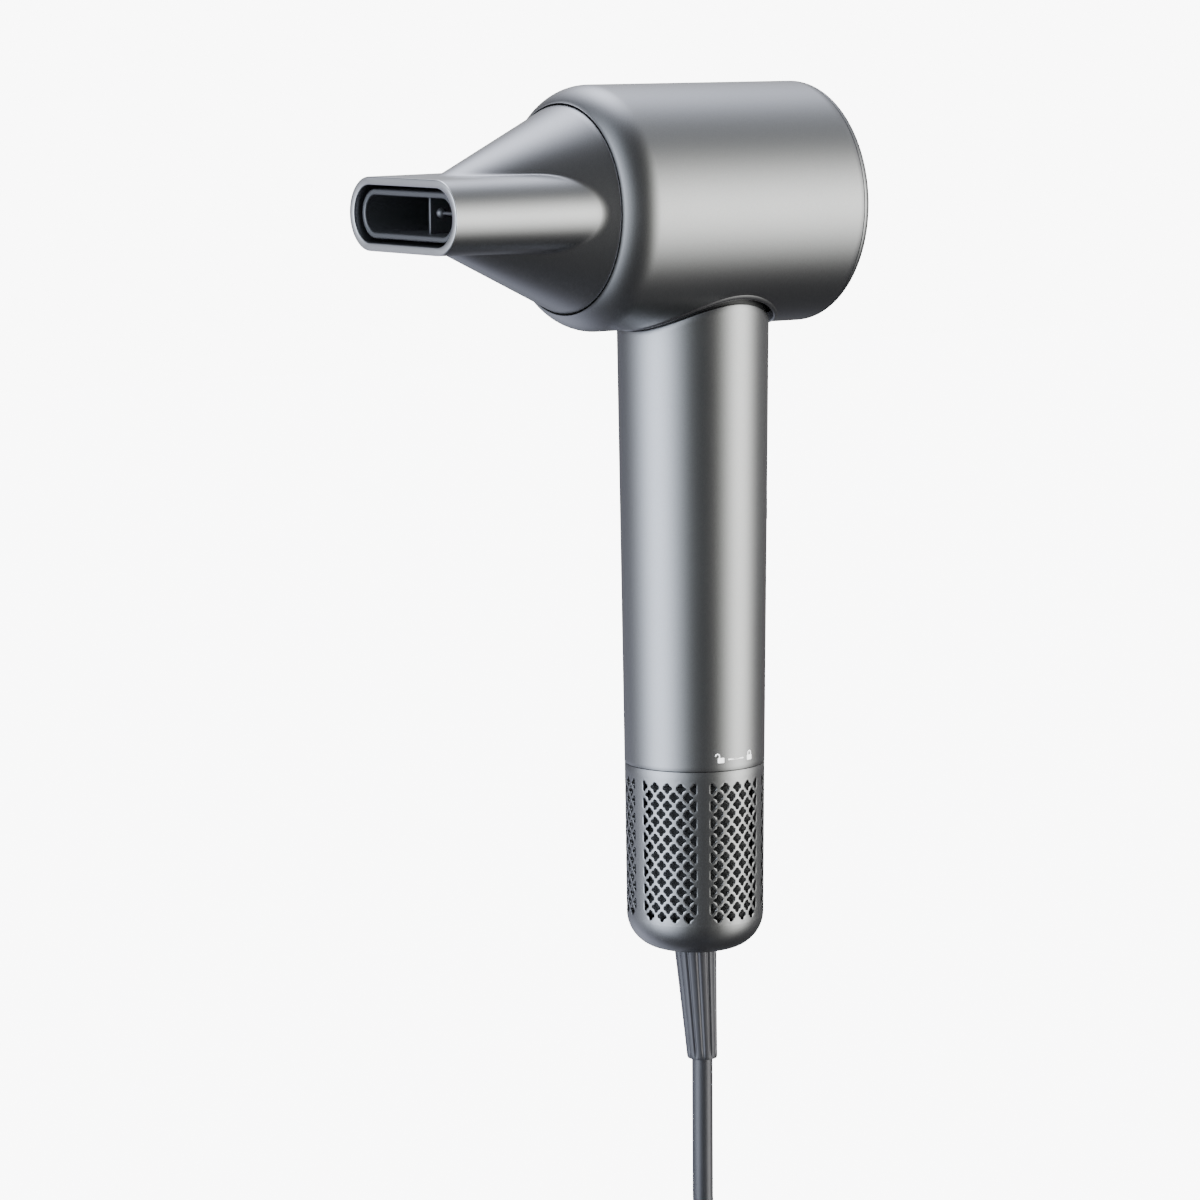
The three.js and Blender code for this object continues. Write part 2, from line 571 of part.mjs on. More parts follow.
// ---- Cord, coil and plug ------------------------------------------------------------------------
function addCordSet() {
  const entry = THREE.MathUtils.degToRad(COIL_ENTRY);
  const [exitX, exitY, exitZ] = CORD_EXIT;
  const coilX = exitX + LEAD_BEND * Math.sin(entry) - COIL_R * Math.cos(entry);
  const coilY = exitY - LEAD_BEND * Math.cos(entry) - COIL_R * Math.sin(entry);
  const coilLow = FLOOR_Z + COIL_LIFT;
  const topLayer = coilLow + 1.5 * CORD_D;
  const coilHigh = coilLow + 2 * CORD_D;

  // The lead hangs straight down, then turns in a quarter circle towards the coil's top layer.
  const lead = [];
  const bendTop = topLayer + LEAD_BEND;
  for (let i = 0; i <= 6; i += 1) {
    lead.push([exitX, exitY, exitZ - GAP - ((exitZ - GAP - bendTop) * i) / 6]);
  }
  const bendEnd = 53; // degrees turned where the tube hands over to the coil
  for (let i = 1; i <= 5; i += 1) {
    const turn = THREE.MathUtils.degToRad((bendEnd * i) / 5);
    const out = LEAD_BEND * (1 - Math.cos(turn));
    lead.push([
      exitX + out * Math.sin(entry),
      exitY - out * Math.cos(entry),
      bendTop - LEAD_BEND * Math.sin(turn),
    ]);
  }
  place(cordSet, "cord_lead", cable(lead, CORD_D, 8, 8), "cord");

  const coilOuter = COIL_R + CORD_D / 2 + 0.2;
  const coilInner = COIL_R - COIL_TURNS * CORD_D - CORD_D / 2 - 0.2;
  const coil = pipe(coilOuter, coilInner, coilLow, coilHigh, ROUND).translate([coilX, coilY, 0]);
  place(cordSet, "cord_coil", coil, "cord");

  const tieGap = 0.5;
  const tieThick = 0.9;
  const tieInside = block(
    [coilInner - tieGap, -10, coilLow - tieGap],
    [coilOuter + tieGap, 10, coilHigh + tieGap],
  );
  const tieOutside = block(
    [coilInner - tieGap - tieThick, -4, coilLow - tieGap - tieThick],
    [coilOuter + tieGap + tieThick, 4, coilHigh + tieGap + tieThick],
  );
  const tie = cut(tieOutside, [tieInside]).rotate([0, 0, TIE_TURN]).translate([coilX, coilY, 0]);
  place(cordSet, "cord_tie", tie, "rubber");

  // The plug lies flat beside the coil, on the tangent that leaves its bottom layer towards +Y.
  const tailX = coilX - COIL_R;
  const plugMiddle = FLOOR_Z + PLUG_THICK / 2;
  const plugStart = coilY + TAIL;
  const clearOfCoil = 27.5;
  const rise = plugMiddle - (coilLow + CORD_D / 2);
  const tail = [0, 0.25, 0.5, 0.75, 1].map((step) => [
    tailX,
    coilY + clearOfCoil + (TAIL - GAP - clearOfCoil) * step,
    plugMiddle - rise * (1 - step) ** 2 * 0.4,
  ]);
  place(cordSet, "cord_tail", cable(tail, CORD_D, 4, 8), "cord");

  const plugWidth = 34;
  const plugLength = 36;
  const outline = new THREE.Shape();
  outline.moveTo(-5, 0);
  outline.lineTo(5, 0);
  outline.quadraticCurveTo(8, 9, plugWidth / 2, 17);
  outline.lineTo(plugWidth / 2, plugLength);
  outline.lineTo(-plugWidth / 2, plugLength);
  outline.lineTo(-plugWidth / 2, 17);
  outline.quadraticCurveTo(-8, 9, -5, 0);
  const body = new THREE.ExtrudeGeometry(outline, {
    depth: PLUG_THICK,
    bevelEnabled: false,
    curveSegments: 6,
  }).translate(tailX, plugStart, FLOOR_Z);
  place(cordSet, "plug_body", solid(body), "cord");

  const pinR = 2.4;
  const pinLength = 19;
  const pinSpacing = 19;
  [-1, 1].forEach((side, i) => {
    const pin = rod(pinR, -pinLength, -GAP, SMALL).rotate([90, 0, 0]);
    const placed = pin.translate([tailX + (side * pinSpacing) / 2, plugStart + plugLength, plugMiddle]);
    place(cordSet, `plug_pin_${i + 1}`, placed, "brass");
  });
}

addBarrelShell();
addOutlet();
addHeater();
addAirGuide();
addBarrelElectronics();
addNozzle();
addHandleShell();
addMotor();
addControls();
addInlet();
addCordAnchor();
addCordSet();

export default dryer;
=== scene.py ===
import json
import math

import bmesh
import bpy
import numpy as np
from mathutils import Matrix, Vector


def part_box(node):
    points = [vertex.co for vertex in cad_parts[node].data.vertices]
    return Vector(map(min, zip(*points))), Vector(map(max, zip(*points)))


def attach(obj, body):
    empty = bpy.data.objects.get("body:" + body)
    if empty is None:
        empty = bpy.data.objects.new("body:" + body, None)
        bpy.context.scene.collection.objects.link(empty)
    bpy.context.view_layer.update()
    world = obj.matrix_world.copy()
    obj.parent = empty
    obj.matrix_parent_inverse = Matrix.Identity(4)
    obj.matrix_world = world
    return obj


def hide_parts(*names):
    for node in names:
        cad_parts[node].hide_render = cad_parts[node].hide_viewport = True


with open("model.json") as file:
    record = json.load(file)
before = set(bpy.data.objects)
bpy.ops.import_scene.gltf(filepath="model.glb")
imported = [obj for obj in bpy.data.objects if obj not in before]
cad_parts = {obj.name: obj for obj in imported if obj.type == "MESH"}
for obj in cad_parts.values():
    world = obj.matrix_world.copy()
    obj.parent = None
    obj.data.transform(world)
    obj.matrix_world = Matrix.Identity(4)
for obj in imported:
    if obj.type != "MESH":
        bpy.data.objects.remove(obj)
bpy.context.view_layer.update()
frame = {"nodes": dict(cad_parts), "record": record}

MM = 0.001

# ---- Places, from the frame ----
shell_low, shell_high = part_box("head_shell")
cover_low, cover_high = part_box("filter_cover")
plug_low, plug_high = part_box("plug_body")

HEAD_R = (shell_high.y - shell_low.y) / 2
HEAD_Z = (shell_high.z + shell_low.z) / 2
HEAD_FRONT = shell_low.x
SHELL_REAR = shell_high.x
HEAD_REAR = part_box("rear_cover")[1].x
FRONT_ROUND = 12.2 * MM
ROUND_START = HEAD_FRONT + 10 * MM

SEAM_Z = (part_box("handle_shell")[0].z + cover_high.z) / 2
HANDLE_SEAM_R = 20.6 * MM
SEAM_GAP = 0.15 * MM
HANDLE_TAPER = 0.01137  # of radius for each length upwards
NECK_HOLE_R = 23.3 * MM
HANDLE_DROP = 0.35 * MM  # from the barrel's surface to the handle's top edge

COVER_TOP_R = cover_high.y
COVER_TOP = SEAM_Z - SEAM_GAP / 2
COVER_LOW_R = 20.2 * MM
COVER_BOTTOM = cover_low.z
COVER_ROUND = 10.8 * MM
COVER_HOLE_R = 7 * MM

CORD_D = 6.2 * MM
CORD_EXIT = Vector((1.6, -1.1, -152.1)) * MM
FLOOR_Z = plug_low.z
PLUG_Z = (plug_low.z + plug_high.z) / 2


# ---- Meshes ----
def add_object(name, data):
    made = bpy.data.objects.new(name, data)
    bpy.context.scene.collection.objects.link(made)
    return made


def link(name, mesh, material, body, replaced=()):
    """A finished mesh as a piece that rides on a body."""
    mesh.materials.clear()
    mesh.materials.append(material)
    piece = add_object(name, mesh)
    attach(piece, body)
    if replaced:
        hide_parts(*replaced)
    return piece


def written(work):
    """A new mesh from a bmesh, which is freed."""
    mesh = bpy.data.meshes.new("made")
    work.to_mesh(mesh)
    work.free()
    return mesh


def tidy(mesh, sharp, weld=1e-6):
    """Welds the seams, turns the faces outwards and shades smooth but for edges over the angle."""
    work = bmesh.new()
    work.from_mesh(mesh)
    bmesh.ops.remove_doubles(work, verts=work.verts, dist=weld)
    bmesh.ops.dissolve_degenerate(work, edges=work.edges, dist=weld)
    bmesh.ops.recalc_face_normals(work, faces=work.faces)
    for face in work.faces:
        face.smooth = True
    for edge in work.edges:
        edge.smooth = len(edge.link_faces) == 2 and edge.calc_face_angle(0) < math.radians(sharp)
    work.to_mesh(mesh)
    work.free()
    return mesh


def mesh_of(points, faces, sharp=35, weld=1e-6):
    mesh = bpy.data.meshes.new("made")
    mesh.from_pydata([tuple(p) for p in points], [], faces)
    return tidy(mesh, sharp, weld)


def skin(rings, closed=False):
    """Points and faces of a surface through rings that all have the same number of points."""
    count = len(rings[0])
    points = [p for ring in rings for p in ring]
    faces = []
    for i in range(len(rings) if closed else len(rings) - 1):
        here = i * count
        there = ((i + 1) % len(rings)) * count
        for j in range(count):
            k = (j + 1) % count
            faces.append((here + j, here + k, there + k, there + j))
    return points, faces


def capped(rings):
    """The same with a flat face over the first ring and over the last."""
    points, faces = skin(rings)
    count = len(rings[0])
    faces.append(tuple(range(count)))
    faces.append(tuple(range(len(points) - count, len(points))))
    return points, faces


def all_round(count):
    """Evenly spaced angles, once round."""
    return [2 * math.pi * i / count for i in range(count)]


def on_x(along, radius, angle):
    """A point at a radius about the barrel's axis."""
    return (along, radius * math.cos(angle), HEAD_Z + radius * math.sin(angle))


def on_z(along, radius, angle):
    """A point at a radius about the handle's axis."""
    return (radius * math.cos(angle), radius * math.sin(angle), along)


def turned(profile, place, steps, closed=True):
    """Turns a profile of (along, radius) points about an axis. Open profiles start and end on it."""
    rings = [[place(a, max(r, 0), t) for t in all_round(steps)] for a, r in profile]
    return mesh_of(*skin(rings, closed=closed))


def plain_disc(low, high, radius):
    """A cutter about the handle's axis."""
    return turned([(low, 0), (low, radius), (high, radius), (high, 0)], on_z, 160, closed=False)


def filleted(points, radii, steps=5):
    """The outline with each corner rounded to its radius; a radius of 0 keeps the corner."""
    made = []
    count = len(points)
    for i, (point, radius) in enumerate(zip(points, radii)):
        here = Vector(point)
        if radius <= 0:
            made.append(tuple(here))
            continue
        before = (Vector(points[i - 1]) - here).normalized()
        after = (Vector(points[(i + 1) % count]) - here).normalized()
        half = before.angle(after) / 2
        reach = radius / math.tan(half)
        centre = here + (before + after).normalized() * (radius / math.sin(half))
        start = here + before * reach - centre
        end = here + after * reach - centre
        for k in range(steps + 1):
            mixed = start.lerp(end, k / steps).normalized() * radius
            made.append(tuple(centre + mixed))
    return made


def arc(centre_a, centre_b, radius, start, end, steps):
    turns = np.radians(np.linspace(start, end, steps + 1))
    return [(centre_a + radius * math.cos(t), centre_b + radius * math.sin(t)) for t in turns]


def line(start, end, steps):
    """Points from start towards end, without the end."""
    return [tuple(Vector(start).lerp(Vector(end), i / steps)) for i in range(steps)]


def oblong(left, right, low, high):
    """The corners of an upright oblong, counterclockwise from the lower left."""
    return [(left, low), (right, low), (right, high), (left, high)]


def moved(mesh, offset):
    mesh.transform(Matrix.Translation(Vector(offset)))
    return mesh


def applied(holder, sharp, spent=()):
    """The mesh that an object's modifiers give. It and the spent objects are removed."""
    depsgraph = bpy.context.evaluated_depsgraph_get()
    made = bpy.data.meshes.new_from_object(holder.evaluated_get(depsgraph))
    for used in (holder, *spent):
        bpy.data.objects.remove(used)
    return tidy(made, sharp)


def cut(mesh, cutters):
    """The mesh with each cutter's volume taken out."""
    holder = add_object("cut_holder", mesh)
    tools = []
    for cutter in cutters:
        tool = add_object("cut_tool", cutter)
        change = holder.modifiers.new("cut", "BOOLEAN")
        change.operation = "DIFFERENCE"
        change.solver = "EXACT"
        change.object = tool
        tools.append(tool)
    return applied(holder, 35, tools)


def solidified(mesh, thickness, sharp):
    """A closed shell: the surface, and its copy a thickness further in."""
    holder = add_object("wall_holder", mesh)
    wall = holder.modifiers.new("wall", "SOLIDIFY")
    wall.thickness = thickness
    wall.offset = -1
    return applied(holder, sharp)


def rounded_box(size, radius, steps=4):
    """A box about the origin with rounded edges."""
    work = bmesh.new()
    bmesh.ops.create_cube(work, size=1)
    bmesh.ops.scale(work, vec=size, verts=work.verts)
    bmesh.ops.bevel(work, geom=work.edges, offset=radius, segments=steps, profile=0.5, affect="EDGES")
    return tidy(written(work), 40)


def merged(meshes):
    """Several separate solids in one mesh."""
    work = bmesh.new()
    for mesh in meshes:
        work.from_mesh(mesh)
    return written(work)


# ---- Materials ----
class Nodes:
    """A short way to write a node tree."""

    def __init__(self, tree):
        self.tree = tree

    def add(self, kind, inputs=None, **settings):
        node = self.tree.nodes.new(kind)
        for key, value in settings.items():
            setattr(node, key, value)
        for key, value in (inputs or {}).items():
            if isinstance(value, bpy.types.NodeSocket):
                self.tree.links.new(value, node.inputs[key])
            else:
                node.inputs[key].default_value = value
        return node

    def math(self, operation, a, b=0.0):
        return self.add("ShaderNodeMath", {0: a, 1: b}, operation=operation).outputs[0]

    def vector_math(self, operation, inputs):
        return self.add("ShaderNodeVectorMath", inputs, operation=operation)

    def dot(self, a, b):
        return self.vector_math("DOT_PRODUCT", {0: a, 1: b}).outputs["Value"]

    def noise(self, scale, detail, rough):
        inputs = {"Scale": scale, "Detail": detail, "Roughness": rough, "Vector": self.coordinates()}
        return self.add("ShaderNodeTexNoise", inputs).outputs["Fac"]

    def coordinates(self):
        return self.add("ShaderNodeTexCoord").outputs["Object"]

    def span(self, value, low, high, from_low=0.0, from_high=1.0):
        inputs = {0: value, 1: from_low, 2: from_high, 3: low, 4: high}
        return self.add("ShaderNodeMapRange", inputs).outputs[0]

    def mix_color(self, factor, first, second):
        inputs = {0: factor, 6: first, 7: second}
        return self.add("ShaderNodeMix", inputs, data_type="RGBA").outputs[2]

    def feed(self, node, name, value):
        self.tree.links.new(value, node.inputs[name])


def new_material(name):
    material = bpy.data.materials.new(name)
    material.use_nodes = True
    nodes = Nodes(material.node_tree)
    return material, nodes, material.node_tree.nodes["Principled BSDF"]


def grey(value, tint=0.0):
    """A grey, cooler for a positive tint."""
    return (value * (1 - tint / 2), value, value * (1 + tint), 1)


def bumped(nodes, shader, height, strength, distance):
    bump = nodes.add("ShaderNodeBump", {"Strength": strength, "Distance": distance, "Height": height})
    nodes.feed(shader, "Normal", bump.outputs[0])


def self_lit(shader, strength):
    shader.inputs["Emission Color"].default_value = (1, 1, 1, 1)
    shader.inputs["Emission Strength"].default_value = strength


def satin_metal(name, tone, roughness, tint=0.02, grain=0.00002, metallic=1.0):
    """Metal with a blasted, lacquered finish: fine grain, faint flake and slow changes of gloss."""
    material, nodes, shader = new_material(name)
    fine = nodes.noise(2600, 3, 0.6)
    flake = nodes.noise(6500, 1, 0.5)
    slow = nodes.noise(28, 3, 0.5)
    colour = nodes.mix_color(
        nodes.span(flake, 0, 1, 0.35, 0.65), grey(tone * 0.93, tint), grey(tone * 1.07, tint)
    )
    gloss = nodes.math("ADD", nodes.span(slow, -0.02, 0.02), nodes.span(fine, -0.03, 0.03))
    nodes.feed(shader, "Base Color", colour)
    nodes.feed(shader, "Roughness", nodes.math("ADD", gloss, roughness))
    shader.inputs["Metallic"].default_value = metallic
    bumped(nodes, shader, fine, 0.25, grain)
    return material


def moulded(name, colour, roughness, texture=1800, depth=0.00003, sheen=0.0, metallic=0.0):
    """Moulded plastic or rubber with a fine spark-eroded texture."""
    material, nodes, shader = new_material(name)
    fine = nodes.noise(texture, 3, 0.6)
    slow = nodes.noise(60, 3, 0.55)
    lighter = tuple(min(1, c * 1.18) for c in colour[:3]) + (1,)
    darker = tuple(c * 0.86 for c in colour[:3]) + (1,)
    nodes.feed(shader, "Base Color", nodes.mix_color(slow, darker, lighter))
    nodes.feed(shader, "Roughness", nodes.math("ADD", nodes.span(fine, -0.06, 0.06), roughness))
    shader.inputs["Sheen Weight"].default_value = sheen
    shader.inputs["Metallic"].default_value = metallic
    bumped(nodes, shader, fine, 0.35, depth)
    return material


WIRES_ROUND = 240  # waves in one turn
WIRES_DOWN = 13000  # radians of wave to the metre


def woven_mesh(name):
    """Fine woven wire cloth, wrapped round the handle's axis."""
    material, nodes, shader = new_material(name)
    place = nodes.add("ShaderNodeSeparateXYZ", {0: nodes.coordinates()})
    turn = nodes.math("ARCTAN2", place.outputs[1], place.outputs[0])
    across = nodes.math("SINE", nodes.math("MULTIPLY", turn, WIRES_ROUND))
    down = nodes.math("SINE", nodes.math("MULTIPLY", place.outputs[2], WIRES_DOWN))
    weave = nodes.math("MULTIPLY", across, down)
    colour = nodes.mix_color(nodes.span(weave, 0, 1, -1, 1), grey(0.012), grey(0.09, 0.05))
    nodes.feed(shader, "Base Color", colour)
    nodes.feed(shader, "Roughness", nodes.span(weave, 0.55, 0.35, -1, 1))
    shader.inputs["Metallic"].default_value = 0.6
    bumped(nodes, shader, weave, 0.5, 0.00008)
    return material


def circuit_board(name):
    """Solder mask with faint copper tracks under it."""
    material, nodes, shader = new_material(name)
    inputs = {"Scale": 420, "Vector": nodes.coordinates()}
    cells = nodes.add("ShaderNodeTexVoronoi", inputs, feature="DISTANCE_TO_EDGE")
    track = nodes.span(cells.outputs["Distance"], 1, 0, 0.02, 0.08)
    colour = nodes.mix_color(track, (0.006, 0.06, 0.024, 1), (0.02, 0.14, 0.06, 1))
    nodes.feed(shader, "Base Color", colour)
    nodes.feed(shader, "Roughness", nodes.span(track, 0.4, 0.28))
    bumped(nodes, shader, track, 0.3, 0.00004)
    return material


# Painted light: the small white marks glow, though they are no lamp.
PRINT_GLOW = 2.5  # keeps the small marks white in the shade

SHELL = satin_metal("satin_grey_shell", 0.36, 0.34)
NOZZLE = satin_metal("satin_grey_nozzle", 0.38, 0.33)
TRIM = satin_metal("satin_trim", 0.55, 0.24, 0.01, 0.00001)
# Painted highlight: the mouth's edge is a lighter copy of the grey metal, so it reads bright.
EDGE = satin_metal("rim_painted_highlight", 0.78, 0.3, 0.02, 0.00001)
STEEL = satin_metal("turned_steel", 0.55, 0.28, 0.0, 0.00001)
COPPER = satin_metal("resistance_wire", 0.4, 0.35, -0.45, 0.00001)
PIN = satin_metal("plated_pin", 0.68, 0.18, -0.06, 0.000008)
BLACK = moulded("black_plastic", (0.012, 0.012, 0.014, 1), 0.5)
DUCT = satin_metal("grey_duct", 0.16, 0.42, 0.06, 0.00002, 0.7)
WHITE = moulded("white_ceramic", (0.7, 0.69, 0.65, 1), 0.4)
MICA = moulded("mica_sheet", (0.42, 0.36, 0.26, 1), 0.45, 500, 0.00006)
BOARD = circuit_board("circuit_board")
RUBBER = moulded("black_rubber", (0.018, 0.018, 0.02, 1), 0.62, 1200, 0.00004, 0.1)
CORD = moulded("grey_sheath", (0.1, 0.1, 0.111, 1), 0.38, 1500, 0.00002, 0.0, 0.45)
LENS = moulded("frosted_lens", (0.75, 0.8, 0.85, 1), 0.25, 900, 0.00001)
PRINT = moulded("white_print_painted_glow", (0.86, 0.86, 0.85, 1), 0.45, 2400, 0.00001)
# Painted light: the print glows, so it stays white where shade falls.
self_lit(PRINT.node_tree.nodes["Principled BSDF"], PRINT_GLOW)
MESH = woven_mesh("woven_filter_mesh")

SLOT_MATERIALS = {
    "shell_metal": SHELL,
    "nozzle_metal": NOZZLE,
    "trim_metal": TRIM,
    "steel": STEEL,
    "steel_mesh": MESH,
    "copper": COPPER,
    "pin_brass": PIN,
    "black_plastic": BLACK,
    "white_ceramic": WHITE,
    "mica": MICA,
    "board": BOARD,
    "rubber": RUBBER,
    "cord_grey": CORD,
    "lens": LENS,
}


def paint_frame():
    """Gives every CAD node that stays its slot's material."""
    for row in frame["record"]["subparts"]:
        mesh = frame["nodes"][row["node"]].data
        mesh.materials.clear()
        mesh.materials.append(SLOT_MATERIALS[row["material_slot"]])


# ---- Camera, light and floor ----
CAMERA_AZIMUTH = math.radians(-36.357)
CAMERA_DISTANCE = 1.2303
CAMERA_HEIGHT = 0.05524
CAMERA_YAW = math.radians(-35.08)
CAMERA_PITCH = math.radians(7.880)
CAMERA_ROLL = math.radians(0.4167)
CAMERA_LENS = 127.46


def make_camera():
    camera = add_object("camera", bpy.data.cameras.new("camera"))
    camera.data.lens = CAMERA_LENS
    camera.data.sensor_width = 36
    place = Vector((math.sin(CAMERA_AZIMUTH), -math.cos(CAMERA_AZIMUTH), 0)) * CAMERA_DISTANCE
    place.z = HEAD_Z + CAMERA_HEIGHT
    flat = math.cos(CAMERA_PITCH)
    ahead = Vector((-math.sin(CAMERA_YAW) * flat, math.cos(CAMERA_YAW) * flat, -math.sin(CAMERA_PITCH)))
    right = Vector((math.cos(CAMERA_YAW), math.sin(CAMERA_YAW), 0))
    above = right.cross(ahead)
    side = right * math.cos(CAMERA_ROLL) - above * math.sin(CAMERA_ROLL)
    top = right * math.sin(CAMERA_ROLL) + above * math.cos(CAMERA_ROLL)
    turn = Matrix((side, top, -ahead)).transposed()
    camera.matrix_world = Matrix.Translation(place) @ turn.to_4x4()
    bpy.context.scene.camera = camera


# Soft oval lamps: direction round the handle from +X, height over the horizon, spread sideways
# and upwards, all in degrees, then red, green and blue.
LAMPS = (
    (176, 2.5, 20, 24.5, (4.6, 5.0, 5.7)),
    (-49, -1, 14.5, 20, (5.6, 5.6, 5.35)),
    (61, 57, 14.5, 17, (4.3, 4.5, 5.1)),
    (93, -34, 18, 16, (0.8, 0.85, 1.05)),
    (-12, 45, 15, 18, (0.4, 0.42, 0.44)),
    (180, 50, 16, 14, (0.2, 0.23, 0.25)),
    (-72, -3, 12, 22, (0.16, 0.16, 0.13)),
    (-150, -2, 14, 25, (0.15, 0.16, 0.12)),
    (50, 12, 18, 14, (0.36, 0.35, 0.33)),
    (5, 15, 22, 20, (0.25, 0.25, 0.25)),
    (130, -4, 12, 12, (0.3, 0.3, 0.32)),
)
AMBIENT = (0.075, 0.075, 0.079)
BACKDROP = (9.0, 9.0, 9.0, 1)
FLOOR_HALF = 3.0
FLOOR_GLOW = 8.3


def lamp_glow(nodes, towards, azimuth, elevation, wide, tall):
    """How bright a lamp is in a direction: 1 in its middle, fading as a bell curve."""
    turn, rise = math.radians(azimuth), math.radians(elevation)
    middle = (math.cos(turn) * math.cos(rise), math.sin(turn) * math.cos(rise), math.sin(rise))
    beside = (-math.sin(turn), math.cos(turn), 0)
    above = (-math.cos(turn) * math.sin(rise), -math.sin(turn) * math.sin(rise), math.cos(rise))
    ahead = nodes.dot(towards, middle)
    squares = []
    for axis, spread in ((beside, wide), (above, tall)):
        off = nodes.math("ARCTAN2", nodes.dot(towards, axis), ahead)
        squares.append(nodes.math("POWER", nodes.math("DIVIDE", off, math.radians(spread)), 2))
    return nodes.math("EXPONENT", nodes.math("MULTIPLY", nodes.math("ADD", *squares), -0.5))


def make_world():
    world = bpy.data.worlds.new("studio")
    bpy.context.scene.world = world
    world.use_nodes = True
    nodes = Nodes(world.node_tree)
    background = world.node_tree.nodes["Background"]
    towards = nodes.add("ShaderNodeTexCoord").outputs["Generated"]
    light = AMBIENT
    for azimuth, elevation, wide, tall, colour in LAMPS:
        glow = lamp_glow(nodes, towards, azimuth, elevation, wide, tall)
        lit = nodes.vector_math("SCALE", {0: colour, "Scale": glow}).outputs[0]
        light = nodes.vector_math("ADD", {0: lit, 1: light}).outputs[0]
    seen = nodes.add("ShaderNodeLightPath").outputs["Is Camera Ray"]
    nodes.feed(background, "Color", nodes.mix_color(seen, light, BACKDROP))


def make_floor():
    corners = [(x, y, FLOOR_Z) for x, y in oblong(-FLOOR_HALF, FLOOR_HALF, -FLOOR_HALF, FLOOR_HALF)]
    mesh = bpy.data.meshes.new("floor")
    mesh.from_pydata(corners, [], [(0, 1, 2, 3)])
    material, nodes, shader = new_material("pale_floor")
    colour = nodes.mix_color(nodes.noise(8, 2, 0.5), grey(0.78), grey(0.8))
    nodes.feed(shader, "Base Color", colour)
    shader.inputs["Roughness"].default_value = 0.9
    self_lit(shader, FLOOR_GLOW)
    mesh.materials.append(material)
    floor = add_object("floor", mesh)
    floor.visible_glossy = False
    floor.visible_diffuse = False


# ---- Cord, plug and strain relief ----
LEAD_BEND = 30 * MM
COIL_ENTRY = math.radians(20)
COIL_TURNS = 34 / 9  # in each of the two layers
TURN_POINTS = 36  # on the cord's route, for each turn of the coil
COIL_R = 46.7 * MM
COIL_LIFT = 1.5 * MM
LAYER_STEP = 0.16  # of a turn, in which the cord goes down to the lower layer
TAIL = 46 * MM
TIE_ANGLE = math.radians(280)
LEAVING = COIL_ENTRY - 4 * math.pi * COIL_TURNS  # where round the coil the tail starts
AHEAD = Vector((math.sin(LEAVING), -math.cos(LEAVING), 0))  # the way the tail and the plug point


def eased(step):
    """From 0 to 1 with a level start and end."""
    step = min(1, max(0, step))
    return step * step * (3 - 2 * step)


def coil_centre():
    return Vector((
        CORD_EXIT.x + LEAD_BEND * math.sin(COIL_ENTRY) - COIL_R * math.cos(COIL_ENTRY),
        CORD_EXIT.y - LEAD_BEND * math.cos(COIL_ENTRY) - COIL_R * math.sin(COIL_ENTRY),
        0,
    ))


def cord_route():
    """The lead hanging from the strain relief, two layers of coil, and the tail to the plug."""
    centre = coil_centre()
    low_layer = FLOOR_Z + COIL_LIFT + CORD_D / 2
    top_layer = low_layer + CORD_D
    bend_top = top_layer + LEAD_BEND
    drop = CORD_EXIT.z - bend_top
    points = [CORD_EXIT - Vector((0, 0, drop * i / 8)) for i in range(8)]
    for i in range(12):
        turn = math.pi / 2 * i / 12
        out = LEAD_BEND * (1 - math.cos(turn))
        points.append(Vector((
            CORD_EXIT.x + out * math.sin(COIL_ENTRY),
            CORD_EXIT.y - out * math.cos(COIL_ENTRY),
            bend_top - LEAD_BEND * math.sin(turn),
        )))
    count = round(2 * COIL_TURNS * TURN_POINTS)
    for i in range(count + 1):
        turns = i / count * 2 * COIL_TURNS
        inwards = min(turns, 2 * COIL_TURNS - turns)
        radius = COIL_R - inwards * CORD_D
        angle = COIL_ENTRY - turns * 2 * math.pi
        height = top_layer - CORD_D * eased((turns - COIL_TURNS) / LAYER_STEP + 0.5)
        points.append(centre + Vector((radius * math.cos(angle), radius * math.sin(angle), height)))
    end = points[-1].copy()
    for i in range(1, 7):
        points.append(end + AHEAD * TAIL * i / 6 + Vector((0, 0, (PLUG_Z - low_layer) * eased(i / 6))))
    return points


def make_cord():
    points = cord_route()
    curve = bpy.data.curves.new("cord", "CURVE")
    curve.dimensions = "3D"
    curve.bevel_depth = CORD_D / 2
    curve.bevel_resolution = 6
    curve.use_fill_caps = True
    spline = curve.splines.new("POLY")
    spline.points.add(len(points) - 1)
    for slot, point in zip(spline.points, points):
        slot.co = (*point, 1)
    curve.materials.append(CORD)
    cord = add_object("cord", curve)
    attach(cord, "root")
    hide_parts("cord_lead", "cord_coil", "cord_tail")
    return cord, points


def make_strain_relief():
    """A tapered, fluted sleeve that leans with the cord."""
    flutes = 12
    top = COVER_BOTTOM
    low = CORD_EXIT.z
    hidden = 7 * MM
    profile = [(top + hidden, 6.35), (top, 6.35)]
    profile += [(top + (low - top) * t, 6.35 - 1.85 * t ** 0.9) for t in np.linspace(0.04, 0.97, 26)]
    profile += [(low + 0.4 * MM, 4.48), (low + 0.1 * MM, 4.36), (low, 4.0)]
    rings = []
    for z, radius in profile:
        lean = max(0, (top - z) / (top - low))
        depth = 0.42 * min(1, max(0, (z - low) / (2.5 * MM)))
        rings.append([])
        for angle in all_round(180):
            groove = (0.5 + 0.5 * math.cos(flutes * angle)) ** 4
            x, y, _ = on_z(z, (radius - depth * groove) * MM, angle)
            rings[-1].append((x + CORD_EXIT.x * lean, y + CORD_EXIT.y * lean, z))
    link("strain_relief_sleeve", mesh_of(*capped(rings), 50), CORD, "root", ["strain_relief"])


PLUG_SQUARENESS = 0.62  # the section's power: 1 is an oval, and less is squarer


